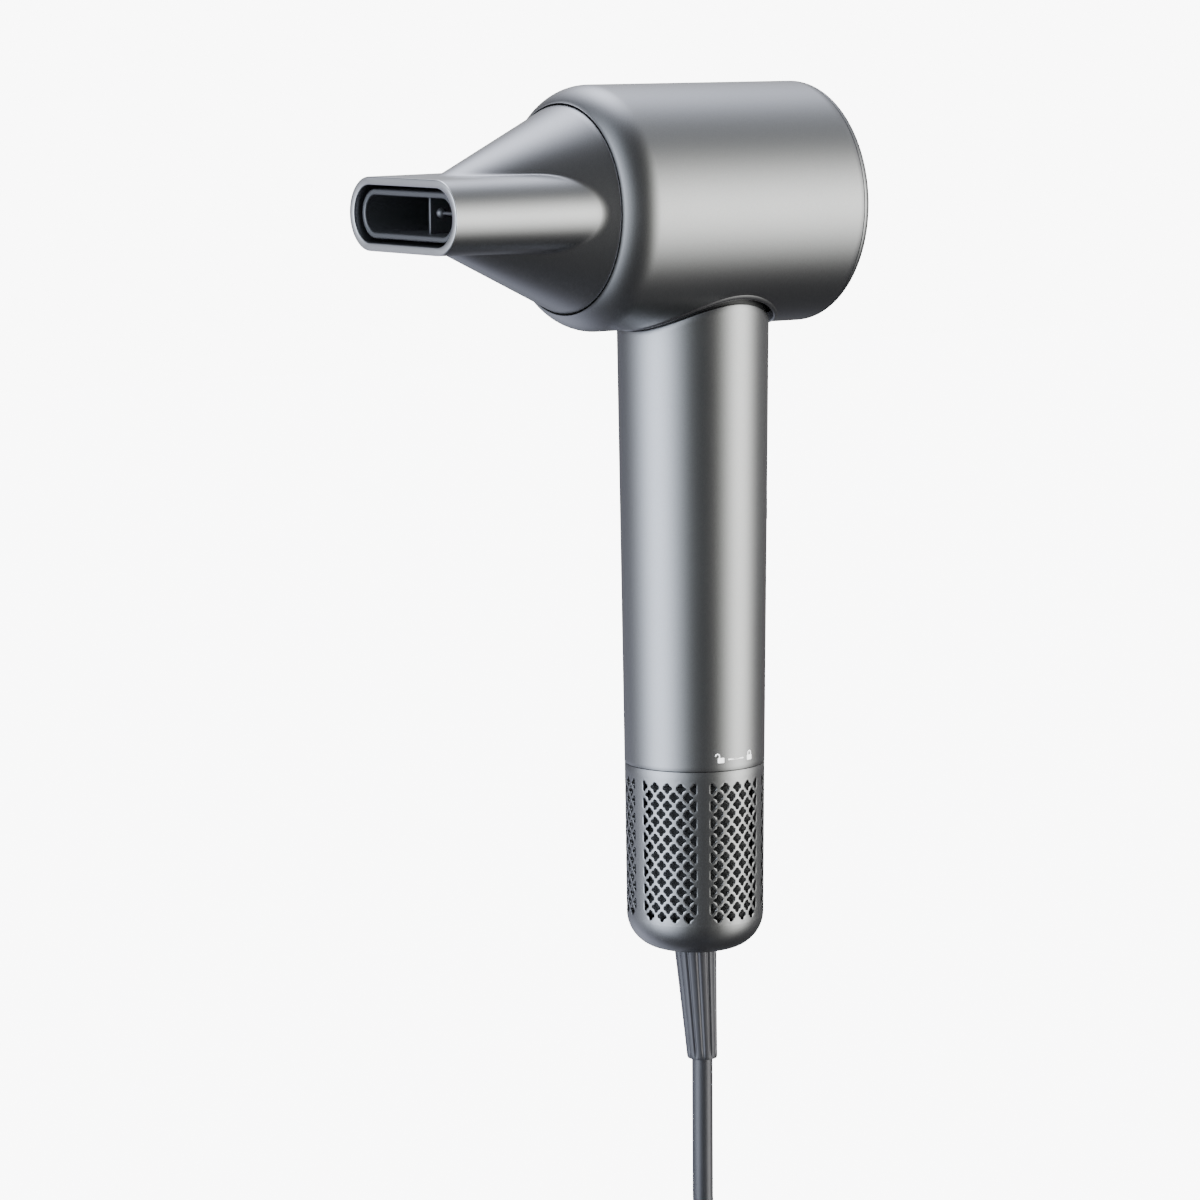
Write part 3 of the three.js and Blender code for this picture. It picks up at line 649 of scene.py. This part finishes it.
def make_plug():
    """A flat two-pin plug with a ribbed tail, lying on the floor."""
    beside = Vector((AHEAD.y, -AHEAD.x, 0))
    start = coil_centre() + Vector((math.cos(LEAVING), math.sin(LEAVING), 0)) * COIL_R + AHEAD * TAIL
    start.z = PLUG_Z
    # Place along the plug, half width and half thickness, in mm.
    stations = [
        (0.0, 4.0, 4.0), (0.4, 4.6, 4.6), (2.0, 4.9, 4.9), (2.4, 4.3, 4.3), (3.2, 4.3, 4.3),
        (3.6, 5.1, 5.0), (5.2, 5.3, 5.1), (5.6, 4.6, 4.6), (6.4, 4.7, 4.7), (6.8, 5.6, 5.3),
        (9.0, 6.8, 5.6), (12, 9.4, 6.1), (15, 12.9, 6.7), (18, 15.6, 7.1), (21, 16.7, 7.35),
        (26, 16.95, 7.4), (32, 16.95, 7.4), (35.2, 16.9, 7.35), (35.8, 16.5, 6.9), (36.0, 15.8, 6.2),
    ]

    def place(origin, along, across, up):
        return origin + (AHEAD * along + beside * across + Vector((0, 0, up))) * MM

    def squared(share):
        return math.copysign(abs(share) ** PLUG_SQUARENESS, share)

    rings = []
    for along, wide, thick in stations:
        rings.append([place(start, along, wide * squared(math.cos(t)), thick * squared(math.sin(t)))
                      for t in all_round(96)])
    pieces = [link("plug_shell", mesh_of(*capped(rings), 40), CORD, "root", ["plug_body"])]
    profile = filleted([(0, 0), (0, 2.4), (19, 2.4), (19, 0)], [0, 0, 1.3, 0])
    for i, side in ((1, -1), (2, 1)):
        root = place(start, 35.9, side * 9.5, 0)
        rings = []
        for along, radius in profile:
            rings.append([place(root, along, radius * math.cos(t), radius * math.sin(t))
                          for t in all_round(32)])
        pieces.append(link(f"pin_{i}", mesh_of(*skin(rings)), PIN, "root", [f"plug_pin_{i}"]))
    return pieces


def make_tie():
    """A rubber strap round the coil."""
    out = Vector((math.cos(TIE_ANGLE), math.sin(TIE_ANGLE), 0))
    along = Vector((-out.y, out.x, 0))
    middle = coil_centre() + out * (COIL_R - COIL_TURNS * CORD_D / 2)
    middle.z = FLOOR_Z + COIL_LIFT + CORD_D
    half_wide = COIL_TURNS * CORD_D / 2 + CORD_D / 2 + 0.55 * MM
    half_high = CORD_D + 0.55 * MM
    outline = filleted(oblong(-half_wide, half_wide, -half_high, half_high), [3.6 * MM] * 4, 8)
    section = filleted(oblong(0, 0.8, -3.5, 3.5), [0.3] * 4, 3)
    rings = []
    for i, (u, v) in enumerate(outline):
        before = Vector(outline[i - 1])
        after = Vector(outline[(i + 1) % len(outline)])
        run = (after - before).normalized()
        normal = Vector((run.y, -run.x))
        rings.append([])
        for thick, wide in section:
            flat = Vector((u, v)) + normal * thick * MM
            rings[-1].append(middle + out * flat.x + Vector((0, 0, flat.y)) + along * wide * MM)
    return link("coil_strap", mesh_of(*skin(rings, closed=True)), RUBBER, "root", ["cord_tie"])


def make_cord_set():
    cord, points = make_cord()
    pieces = make_plug()
    pieces.append(make_tie())
    length = sum((b - a).length for a, b in zip(points, points[1:]))


# ---- Barrel ----
RIM_TURN = math.degrees(math.acos((HEAD_FRONT - ROUND_START) / FRONT_ROUND))
ROUND_CENTRE_R = HEAD_R - FRONT_ROUND
RIM_R = ROUND_CENTRE_R + FRONT_ROUND * math.sin(math.radians(RIM_TURN))


def make_barrel():
    front = HEAD_FRONT
    seam = SHELL_REAR + 0.1 * MM
    inside = HEAD_R - 2 * MM
    outer = [(seam, HEAD_R - 0.2 * MM), (seam - 0.06 * MM, HEAD_R - 0.06 * MM), (seam - 0.2 * MM, HEAD_R)]
    outer += line((seam - 2 * MM, HEAD_R), (ROUND_START, HEAD_R), 34)
    outer += arc(ROUND_START, ROUND_CENTRE_R, FRONT_ROUND, 90, RIM_TURN - 2, 20)
    lip = arc(front + 0.3 * MM, RIM_R + 0.3 * MM, 0.3 * MM, 200, 270, 4)
    inner = [
        (front + 4 * MM, RIM_R), (front + 4 * MM, inside - 1 * MM), (ROUND_START, inside - 1 * MM),
        (ROUND_START + 2 * MM, inside),
    ]
    inner += line((ROUND_START + 4 * MM, inside), (seam, inside), 24)
    inner.append((seam, inside))
    tube = turned(outer + lip + inner, on_x, 240)
    hole = plain_disc(HEAD_Z - HEAD_R - 6 * MM, HEAD_Z - 18 * MM, NECK_HOLE_R + 0.5 * MM)
    link("barrel_shell", cut(tube, [hole]), SHELL, "root", ["head_shell"])

    # The rear cover: a shallow dish in the middle, a round corner, and a spigot inside the barrel.
    edge = seam + 0.1 * MM
    spigot, spigot_end = HEAD_R - 2.4 * MM, edge - 5.5 * MM
    dish = [(-0.5, 0), (-0.5, 22.6), (-0.42, 23), (-0.08, 23.5), (0, 24)]
    profile = [(HEAD_REAR + along * MM, radius * MM) for along, radius in dish]
    profile += arc(HEAD_REAR - 2.8 * MM, HEAD_R - 2.8 * MM, 2.8 * MM, 0, 84, 14)
    profile += [(edge + 0.05 * MM, HEAD_R - 0.02 * MM), (edge, HEAD_R - 0.2 * MM), (edge, spigot)]
    profile += [(spigot_end, spigot), (spigot_end, spigot - 1.4 * MM)]
    profile += [(HEAD_REAR - 2.2 * MM, spigot - 1.4 * MM), (HEAD_REAR - 2.2 * MM, 0)]
    cover = turned(profile, on_x, 240, closed=False)
    link("barrel_rear", cover, SHELL, "root", ["rear_cover"])


def saddle_point(radius, angle, lift=0.0):
    """A point on the barrel's underside, or a lift outside it, on a circle about the handle's axis."""
    x, y = radius * math.cos(angle), radius * math.sin(angle)
    reach = HEAD_R + lift
    return Vector((x, y, HEAD_Z - math.sqrt(reach * reach - y * y)))


def make_neck_trim():
    """The rounded lip of the barrel's hole, where the handle goes in."""
    section = [
        (1.5, -0.6), (1.3, -0.05), (1.05, 0.18), (0.75, 0.34), (0.42, 0.34), (0.16, 0.2),
        (0.02, 0.0), (0, -0.4), (0, -2.6), (0.5, -2.6), (1.0, -2.2),
    ]
    rings = []
    for angle in all_round(200):
        rings.append([saddle_point(NECK_HOLE_R + out * MM, angle, lift * MM) for out, lift in section])
    link("neck_trim", mesh_of(*skin(rings, closed=True), sharp=50), SHELL, "root")


# ---- Nozzle ----
MOUTH_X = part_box("nozzle_shell")[0].x
MOUTH_W = 54.8 * MM
MOUTH_H = 20.8 * MM
BASE_H = 22 * MM
NOZZLE_BASE = HEAD_FRONT + 0.2 * MM
NOZZLE_R = 29.5 * MM
NOZZLE_TIP_R = 4.5 * MM
BEAD_X = -90 * MM
BEAD_Z = HEAD_Z + 0.7 * MM
BEAD_Y = -5.9  # this and the radius in mm
BEAD_R = 1.45


def oval_reach(width, height, angle):
    """Distance from the centre of a flat oval to its edge, in a direction."""
    c, s = abs(math.cos(angle)), abs(math.sin(angle))
    end = height / 2
    straight = width / 2 - end
    if s * straight <= c * end * 1e-9:
        return width / 2
    if c * end <= s * straight:
        return end / s
    # On the round end: |p - (straight, 0)| = end.
    return straight * c + math.sqrt(max(0, end * end - straight * straight * s * s))


def smooth_max(a, b, soft):
    gap = max(soft - abs(a - b), 0) / soft
    return max(a, b) + gap * gap * soft / 4


def mouth_angles(count):
    """Directions to evenly spaced points on the mouth's outline."""
    end = MOUTH_H / 2
    straight = MOUTH_W / 2 - end
    quarter = math.pi * end / 2
    half = 2 * straight + 2 * quarter
    # The lower half is the upper one turned round.
    angles = []
    for i in range(count):
        lower, along = divmod(2 * half * i / count, half)
        middle = straight
        if along > quarter:
            middle -= min(along - quarter, 2 * straight)
        turn = (along - straight + middle) / end
        point = (middle + end * math.cos(turn), end * math.sin(turn))
        angles.append(math.atan2(point[1], point[0]) + lower * math.pi)
    return angles


def cone_reach(x):
    """The cone's radius, from the small tip at the mouth to the round base."""
    return NOZZLE_TIP_R + (NOZZLE_R - NOZZLE_TIP_R) * (x - MOUTH_X) / (NOZZLE_BASE - MOUTH_X)


def duct_reach(x, angle, inset=0.0):
    height = MOUTH_H + (BASE_H - MOUTH_H) * (x - MOUTH_X) / (NOZZLE_BASE - MOUTH_X)
    return oval_reach(MOUTH_W - 2 * inset, height - 2 * inset, angle)


def nozzle_reach(x, angle, inset, crease):
    joint = smooth_max(cone_reach(x) - inset, duct_reach(x, angle, inset), crease)
    return min(joint, NOZZLE_R - inset)


def crease_at(angle):
    """Where the cone comes out of the flat duct, in a direction."""
    near, far = MOUTH_X, NOZZLE_BASE
    for _ in range(30):
        middle = (near + far) / 2
        if cone_reach(middle) < duct_reach(middle, angle):
            near = middle
        else:
            far = middle
    return (near + far) / 2


def make_nozzle():
    angles = mouth_angles(360)
    creases = [crease_at(a) for a in angles]
    count = len(angles)
    wall = 2.3 * MM
    soft = 0.8 * MM
    blend = 1.0 * MM
    base = NOZZLE_BASE - 0.3 * MM
    tip = MOUTH_X + 0.48 * MM
    spigot_end = HEAD_FRONT + 3.7 * MM

    def ring(x, inset, soft=soft):
        return [on_x(x, nozzle_reach(x, a, inset, soft), a) for a in angles]

    # Outside: from the base to just behind the crease, over it, and on to the tip.
    rings = []
    behind, before = [c + blend for c in creases], [c - blend for c in creases]
    stretches = (([base] * count, behind, 22), (behind, before, 10), (before, [tip] * count, 40))
    for starts, ends, steps in stretches:
        for share in np.linspace(0, 1, steps)[1 if rings else 0:]:
            places = [start + (end - start) * share for start, end in zip(starts, ends)]
            rings.append([on_x(x, nozzle_reach(x, a, 0, soft), a) for x, a in zip(places, angles)])
    # Inside: back to the base, then the spigot that goes into the barrel.
    rings.append(ring(tip, wall))
    for x in np.linspace(MOUTH_X + 2.5 * MM, NOZZLE_BASE - 1.6 * MM, 40):
        rings.append(ring(x, wall, 2 * MM))
    spigot = [
        (NOZZLE_BASE - 1.5 * MM, 22), (NOZZLE_BASE - 1.4 * MM, 21.5), (spigot_end, 21.5),
        (spigot_end, 23.1), (NOZZLE_BASE, 23.1), (NOZZLE_BASE, 29.0),
    ]
    for x, radius in spigot:
        rings.append([on_x(x, radius * MM, a) for a in angles])
    rings.append([on_x(NOZZLE_BASE - 0.08 * MM, NOZZLE_R - 0.1 * MM, a) for a in angles])
    body = mesh_of(*skin(rings, closed=True))
    link("nozzle_body", body, NOZZLE, "nozzle", ["nozzle_shell"])

    # The mouth's edge, a hair in front of the body, in a lighter copy of the metal: painted highlight.
    rim_end = tip - 0.02 * MM
    edge_r = 0.3 * MM
    rim = [ring(rim_end, 0)]
    for turn in np.radians((0, 30, 60, 90)):
        rim.append(ring(MOUTH_X + edge_r * (1 - math.sin(turn)), edge_r * (1 - math.cos(turn))))
    rim.append(ring(MOUTH_X, wall - edge_r))
    rim.append(ring(MOUTH_X + 0.09 * MM, wall - 0.09 * MM))
    rim.append(ring(MOUTH_X + edge_r, wall))
    rim.append(ring(rim_end, wall))
    link("nozzle_rim", mesh_of(*skin(rim, closed=True)), EDGE, "nozzle")

    # The duct inside it, with four webs that hold it.
    width, height, thick = 47.8, 13.8, 1.7
    front = MOUTH_X / MM + 1.9
    outline = filleted(oblong(front, front + 36, 0, thick), [0.5, 0.2, 0.2, 0.5], 4)
    rings = []
    for x, inset in outline:
        size = ((width - 2 * inset) * MM, (height - 2 * inset) * MM)
        rings.append([on_x(x * MM, oval_reach(*size, a), a) for a in angles])
    duct = mesh_of(*skin(rings, closed=True))
    webs = []
    for up in (-7.55, 7.55):
        for y in (-15, 15):
            web = rounded_box((12 * MM, 1.2 * MM, 1.7 * MM), 0.2 * MM, 2)
            webs.append(moved(web, (-78 * MM, y * MM, HEAD_Z + up * MM)))

    # A thin stem from one end of the duct, with a round bead on it in front of the divider.
    end_wall = -width / 2 + thick - 0.4
    stem = [(end_wall, 0), (end_wall, 0.7), (BEAD_Y - 1.3, 0.5)]
    stem += arc(BEAD_Y, 0, BEAD_R, 158, 0, 13)

    def on_stem(along, radius, angle):
        return (BEAD_X + radius * math.cos(angle), along, BEAD_Z + radius * math.sin(angle))

    bead = turned([(a * MM, r * MM) for a, r in stem], on_stem, 32, closed=False)
    link("nozzle_duct", merged([duct, bead, *webs]), DUCT, "nozzle", ["nozzle_inner_duct"])

    divider_front, divider_back = -90.2, -66
    size = ((divider_back - divider_front) * MM, 1.0 * MM, (height - 2 * thick + 0.3) * MM)
    middle = (divider_front + divider_back) / 2 * MM
    rib = moved(rounded_box(size, 0.3 * MM), (middle, 0, HEAD_Z))
    link("nozzle_rib", rib, DUCT, "nozzle", ["nozzle_divider"])


# ---- Handle ----
BUTTON_R = 4.2 * MM
SLIDER_TRAVEL = 8 * MM


def handle_radius(z):
    return HANDLE_SEAM_R + (z - SEAM_Z) * HANDLE_TAPER


def make_handle():
    wall = 1.8 * MM
    bottom = SEAM_Z + SEAM_GAP / 2

    def ring(share, inset=0.0, lift=0.0):
        """A ring a share of the way up, set in from the surface and lifted."""
        made = []
        for angle in all_round(224):
            top = saddle_point(handle_radius(HEAD_Z - HEAD_R), angle, HANDLE_DROP).z
            z = bottom + (top - bottom) * share + lift
            made.append(on_z(z, handle_radius(z) - inset, angle))
        return made

    rings = [ring(0, 0.12 * MM), ring(0, 0.035 * MM, 0.035 * MM), ring(0, 0, 0.12 * MM)]
    rings += [ring(share) for share in np.linspace(0.01, 0.985, 90)]
    rings += [ring(1, 0, -0.35 * MM), ring(1, 0.1 * MM, -0.1 * MM), ring(1, 0.35 * MM), ring(1, wall)]
    rings += [ring(share, wall) for share in np.linspace(0.98, 0.02, 30)]
    rings.append(ring(0, wall))
    tube = mesh_of(*skin(rings, closed=True))
    link("handle_tube", cut(tube, control_holes()), SHELL, "root", ["handle_shell"])
    # The seal that shows dark in the gap between the handle and the barrel.
    low, high = 0.03 * MM, 2.6 * MM
    seal_r = 0.9 * MM
    seal = [ring(1, seal_r, low), ring(1, seal_r, high), ring(1, wall, high), ring(1, wall, low)]
    link("neck_seal", mesh_of(*skin(seal, closed=True)), BLACK, "root")


def middle_z(node):
    low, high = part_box(node)
    return (low.z + high.z) / 2


def bore(node, radius, steps):
    """A cutter along X through the handle's rear wall, at a node's height."""
    return turned_on_x([(15, 0), (15, radius), (30, radius), (30, 0)], middle_z(node), steps)


def control_holes():
    holes = []
    for name in ("temp_button", "cool_button"):
        holes.append(bore(name, BUTTON_R / MM + 0.25, 48))
    for i in (1, 2, 3):
        holes.append(bore(f"indicator_lens_{i}", 1.25, 24))
    slot = rounded_box((15 * MM, 4.4 * MM, 14.2 * MM), 2.0 * MM)
    holes.append(moved(slot, (22 * MM, 0, middle_z("speed_slider") + SLIDER_TRAVEL / 2)))
    return holes


def turned_on_x(profile, height, steps):
    """Turned about a line along X at a height, the profile in millimetres."""
    def place(along, radius, angle):
        return (along, radius * math.cos(angle), height + radius * math.sin(angle))
    return turned([(a * MM, r * MM) for a, r in profile], place, steps, closed=False)


def make_controls():
    for name, body in (("temp_button", "temp_key"), ("cool_button", "cool_key")):
        back, face = (corner.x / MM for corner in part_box(name))
        radius = BUTTON_R / MM
        profile = filleted(
            [(back, 0), (back, 5.2), (back + 1.2, 5.2), (back + 1.2, radius),
             (face, radius), (face - 0.25, radius - 1.4), (face - 0.35, 0)],
            [0, 0.2, 0.2, 0.1, 0.45, 1.2, 0],
        )
        cap = turned_on_x(profile, middle_z(name), 64)
        link(f"{name}_cap", cap, TRIM, body, [name])

    low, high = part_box("speed_slider")
    middle = (low + high) / 2
    knob_low = handle_radius(middle.z + SLIDER_TRAVEL) + 0.35 * MM
    thick = high.x - knob_low
    knob = rounded_box((thick + 2 * MM, 9 * MM, 11 * MM), 1.1 * MM)
    moved(knob, ((high.x + knob_low - 2 * MM) / 2, 0, middle.z))
    trimmer = plain_disc(middle.z - 10 * MM, middle.z + 10 * MM, knob_low)
    grooves = []
    for step in (-2.4, -0.8, 0.8, 2.4):
        groove = rounded_box((1 * MM, 7 * MM, 0.7 * MM), 0.2 * MM, 2)
        grooves.append(moved(groove, (high.x + 0.2 * MM, 0, middle.z + step * MM)))
    cap = cut(knob, [trimmer, *grooves])
    stem = moved(rounded_box((4.2 * MM, 3.6 * MM, 5.2 * MM), 0.3 * MM), (20.1 * MM, 0, middle.z))
    link("slider_knob", merged([cap, stem]), TRIM, "slider", ["speed_slider"])

    for i in (1, 2, 3):
        name = f"indicator_lens_{i}"
        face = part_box(name)[1].x / MM
        corners = [(14.1, 0), (14.1, 1.1), (face, 1.1), (face + 0.05, 0)]
        profile = filleted(corners, [0, 0, 0.3, 0], 4)
        lens = turned_on_x(profile, middle_z(name), 32)
        link(f"lens_{i}", lens, LENS, "root", [name])


# ---- Filter ----
PANELS = 6
PANEL_TURN = math.radians(0.8)
ROWS = 16
ROW = 2.54 * MM  # between rows, half of them offset by half a column
COLUMN = math.radians(11.56)
FIRST_ROW = SEAM_Z - 5.0 * MM
LAST_ROW = FIRST_ROW - ROW * (ROWS - 1)
TOP_LINE = FIRST_ROW + ROW
LOW_LINE = LAST_ROW - ROW
HOLE_POINTS = 32
QUARTER = HOLE_POINTS // 4
HOLE_RIM = (1.42, 0.16)  # a hole's soft outer edge: middle radius and lobes, in mm
HOLE_LIP = (1.28, 0.27)  # its inner edge
HOLE_DEPTH = 0.1 * MM  # from the surface to the inner edge
SIDE_DEPTH = 0.07 * MM  # the same for a hole on a panel's side
SIDE_EDGE = math.radians(2.5)  # from the outermost column to the plain rib
SIDE_RISE = ROW * SIDE_EDGE / (COLUMN / 2)  # how far a cell's edge rises in that turn
SIDE_CUT = 0.8  # the outermost holes are cut off this far past their middle, in mm
SIDE_LIP = 0.35  # the wider chamfer on that straight side
SIDE_HALF = 1.25  # half the straight side's length


def cover_radius(z):
    """The filter cover's outer radius at a height."""
    round_z = COVER_BOTTOM + COVER_ROUND
    if z >= round_z:
        share = (z - round_z) / (cover_high.z - round_z)
        return COVER_LOW_R + (COVER_TOP_R - COVER_LOW_R) * share
    drop = min(COVER_ROUND, round_z - z)
    return COVER_LOW_R - COVER_ROUND + math.sqrt(COVER_ROUND ** 2 - drop ** 2)


def four_lobed(angle, middle, lobe):
    """A point on a four-lobed outline, as (across, up) in mm."""
    reach = middle + lobe * math.cos(4 * angle)
    return reach * math.cos(angle), 1.03 * reach * math.sin(angle)


def rhombus(step):
    """A point on a cell's edge, counted round from its right corner, as shares of its half sizes."""
    side, part = divmod(step % HOLE_POINTS, QUARTER)
    part /= QUARTER
    return ((1 - part, part), (-part, 1 - part), (part - 1, -part), (part, part - 1))[side]


class FilterSkin:
    """The perforated outer surface, laid out as turn angle by height and wrapped round the axis."""

    def __init__(self):
        self.points = []
        self.faces = []
        self.known = {}

    def point(self, turn, z, sink=0.0):
        turn = round(turn * 1e5) % round(2e5 * math.pi)
        key = (turn, round(z * 1e8), round(sink * 1e8))
        if key not in self.known:
            self.known[key] = len(self.points)
            self.points.append(on_z(z, cover_radius(z) - sink, turn / 1e5))
        return self.known[key]

    def face(self, corners):
        unique = [c for i, c in enumerate(corners) if c != corners[i - 1]]
        if len(unique) > 2:
            self.faces.append(tuple(unique))

    def flat(self, *corners):
        """A face through corners given as (turn, height)."""
        self.face([self.point(*corner) for corner in corners])

    def fan(self, middle, edge):
        for here, there in zip(edge, edge[1:]):
            self.face((here, there, middle))

    def edge_of(self, centre, z, first, steps):
        """Points along a cell's edge."""
        shares = [rhombus(i) for i in range(first, first + steps + 1)]
        return [self.point(centre + u * COLUMN / 2, z + v * ROW) for u, v in shares]

    def cell(self, centre, z, side=0):
        """The skin round a hole. On a panel's side the hole is cut off just past its middle."""
        first, count = (QUARTER * side, HOLE_POINTS // 2 + 1) if side else (0, HOLE_POINTS)
        edge = self.edge_of(centre, z, first, count - 1)
        rim, lip = [], []
        for step in range(first, first + count):
            u, v = rhombus(step)
            angle = math.atan2(1.15 * v, u)
            rim.append(four_lobed(angle, *HOLE_RIM))
            lip.append(four_lobed(angle, *HOLE_LIP))
        if side:
            # The straight side: the cell's corners on the rib, and the hole's cut-off edge.
            for end in (-side, side):
                edge.append(self.point(centre + side * SIDE_EDGE, z + end * (ROW - SIDE_RISE)))
                rim.append((side * SIDE_CUT, end * SIDE_HALF))
                lip.append((side * (SIDE_CUT - SIDE_LIP), end * SIDE_HALF))
        radius = cover_radius(z) / MM
        rim = [self.point(centre + u / radius, z + v * MM) for u, v in rim]
        sink = SIDE_DEPTH if side else HOLE_DEPTH
        lip = [self.point(centre + u / radius, z + v * MM, sink) for u, v in lip]
        for outer, inner in ((edge, rim), (rim, lip)):
            for i in range(len(outer)):
                self.face((outer[i - 1], outer[i], inner[i], inner[i - 1]))

    def half_cell(self, centre, z, down):
        """A solid half cell that fills the zigzag at the top or bottom of a panel."""
        edge = self.edge_of(centre, z, 2 * QUARTER if down else 0, 2 * QUARTER)
        start = COLUMN / 2 * (1 if down else -1)
        flat = [self.point(centre + start * (1 - i / 2), z) for i in range(5)]
        self.fan(self.point(centre, z + ROW * (-0.4 if down else 0.4)), edge + flat[1:])

    def side(self, line, side):
        """The solid pieces between the outermost holes and the rib."""
        rib = line + side * SIDE_EDGE
        self.flat((line, TOP_LINE), (rib, TOP_LINE), (rib, TOP_LINE - SIDE_RISE))
        for row in range(1, ROWS - 1, 2):
            z = FIRST_ROW - ROW * row
            self.flat((line, z), (rib, z + SIDE_RISE), (rib, z - SIDE_RISE))
        first = 3 * QUARTER if side > 0 else 2 * QUARTER
        edge = self.edge_of(line - side * COLUMN / 2, LAST_ROW, first, QUARTER)
        self.fan(self.point(line, LOW_LINE), edge)
        self.flat((line, LAST_ROW), (rib, LAST_ROW + SIDE_RISE), (rib, LOW_LINE), (line, LOW_LINE))

    def panel(self, centre):
        for row in range(ROWS):
            z = FIRST_ROW - ROW * row
            for place in ((-1.5, -0.5, 0.5, 1.5) if row % 2 else (-1, 0, 1)):
                self.cell(centre + place * COLUMN, z)
            if row % 2 == 0:
                self.cell(centre - 2 * COLUMN, z, -1)
                self.cell(centre + 2 * COLUMN, z, 1)
        for place in (-1.5, -0.5, 0.5, 1.5):
            self.half_cell(centre + place * COLUMN, TOP_LINE, True)
        for place in (-1, 0, 1):
            self.half_cell(centre + place * COLUMN, LOW_LINE, False)
        self.side(centre - 2 * COLUMN, -1)
        self.side(centre + 2 * COLUMN, 1)

    def rib(self, centre):
        """The plain strip between two panels."""
        half = math.pi / PANELS - 2 * COLUMN - SIDE_EDGE
        heights = [TOP_LINE]
        for row in range(0, ROWS, 2):
            z = FIRST_ROW - ROW * row
            heights += [z + ROW - SIDE_RISE, z - ROW + SIDE_RISE]
        heights.append(LOW_LINE)
        turns = [centre + half * share for share in (-1, -0.33, 0.33, 1)]
        for high, low in zip(heights, heights[1:]):
            for left, right in zip(turns, turns[1:]):
                self.flat((left, high), (right, high), (right, low), (left, low))

    def rings(self, start, levels):
        """Bands all round through levels of (height, radius), from the line of points at start."""
        height = round(start * 1e8)
        turns = sorted(turn / 1e5 for turn, z, sink in self.known if z == height and sink == 0)
        here = [self.point(turn, start) for turn in turns]
        for z, radius in levels:
            there = [self.point(turn, z, cover_radius(z) - radius) for turn in turns]
            for i in range(len(turns)):
                self.face((here[i - 1], here[i], there[i], there[i - 1]))
            here = there


def make_filter():
    shape = FilterSkin()
    span = 2 * math.pi / PANELS
    for k in range(PANELS):
        shape.panel(PANEL_TURN + (k + 0.5) * span)
        shape.rib(PANEL_TURN + k * span)
    top_edge = ((0.12, 0), (0.035, 0.035), (0, 0.12))
    shape.rings(TOP_LINE, [(COVER_TOP - down * MM, COVER_TOP_R - sink * MM) for down, sink in top_edge])
    # The rounded bottom, then the flat foot in to the strain relief's hole.
    levels = []
    for turn in np.radians(np.linspace(6.5, 88, 20)):
        radius = COVER_LOW_R - COVER_ROUND * (1 - math.cos(turn))
        levels.append((COVER_BOTTOM + COVER_ROUND * (1 - math.sin(turn)), radius))
    for up, out in ((0, 1.4), (0, 0.4), (0.1, 0.1), (0.3, 0)):
        levels.append((COVER_BOTTOM + up * MM, COVER_HOLE_R + out * MM))
    shape.rings(LOW_LINE, levels)
    surface = mesh_of(shape.points, shape.faces)
    wall = 0.9 * MM
    corners = ((1.6, 1.6), (1.6, 0.7), (0.35, 0.7), (0.35, 1.6))
    spigot = turned([(COVER_TOP - down * MM, COVER_TOP_R - sink * MM) for down, sink in corners], on_z, 200)
    shell = merged([solidified(surface, wall, 40), spigot])
    link("filter_shell", shell, SHELL, "filter", ["filter_cover"])

    low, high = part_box("filter_liner")
    outer, inner = high.y, high.y - 0.35 * MM
    profile = [(low.z, inner), (low.z, outer), *line((low.z + 2 * MM, outer), (high.z, outer), 8)]
    profile += [(high.z, outer), (high.z, inner)]
    link("filter_gauze", turned(profile, on_z, 160), MESH, "filter_sleeve", ["filter_liner"])


# ---- Printed marks ----
MARK_TURN = math.radians(-90)
MARK_Z = SEAM_Z + 3.4 * MM


def printed(outlines, name):
    """Thin white marks on the handle: each outline is (across, up) points in mm."""
    points, faces = [], []
    for outline in outlines:
        start = len(points)
        count = len(outline)
        for lift in (0.01 * MM, 0.04 * MM):
            for across, z in outline:
                angle = MARK_TURN + across / (handle_radius(MARK_Z) / MM)
                height = MARK_Z + z * MM
                points.append(on_z(height, handle_radius(height) + lift, angle))
        low = range(start, start + count)
        high = range(start + count, start + 2 * count)
        faces += [tuple(reversed(low)), tuple(high)]
        for i in range(count):
            faces.append((low[i - 1], low[i], high[i], high[i - 1]))
    link(name, mesh_of(points, faces, weld=1e-8), PRINT, "root")


def strip(path, width):
    """A band of even width along a path."""
    left, right = [], []
    for i, here in enumerate(path):
        before = Vector(path[max(0, i - 1)])
        after = Vector(path[min(len(path) - 1, i + 1)])
        run = (after - before).normalized()
        side = Vector((-run.y, run.x)) * width / 2
        left.append(tuple(Vector(here) + side))
        right.append(tuple(Vector(here) - side))
    return left + right[::-1]


def padlock(across, opened):
    """A small padlock, its shackle swung to one side when opened."""
    body = filleted(oblong(across - 1.0, across + 1.0, -0.9, 0.6), [0.25] * 4, 3)
    middle = across - (1.1 if opened else 0)
    shackle = [(middle + 0.6, 0.6), *arc(middle, 1.15, 0.6, 0, 180, 8)]
    shackle.append((middle - 0.6, 1.15 if opened else 0.6))
    return [body, strip(shackle, 0.3)]


def make_marks():
    printed(padlock(-5.2, True), "mark_unlocked")
    printed(padlock(5.0, False), "mark_locked")
    printed([strip([(-2.9 + i * 0.6, 0) for i in range(10)], 0.35)], "mark_line")


# ---- Everything ----
make_camera()
make_cord_set()
make_world()
make_floor()
paint_frame()
make_strain_relief()
make_barrel()
make_neck_trim()
make_nozzle()
make_handle()
make_controls()
make_filter()
make_marks()
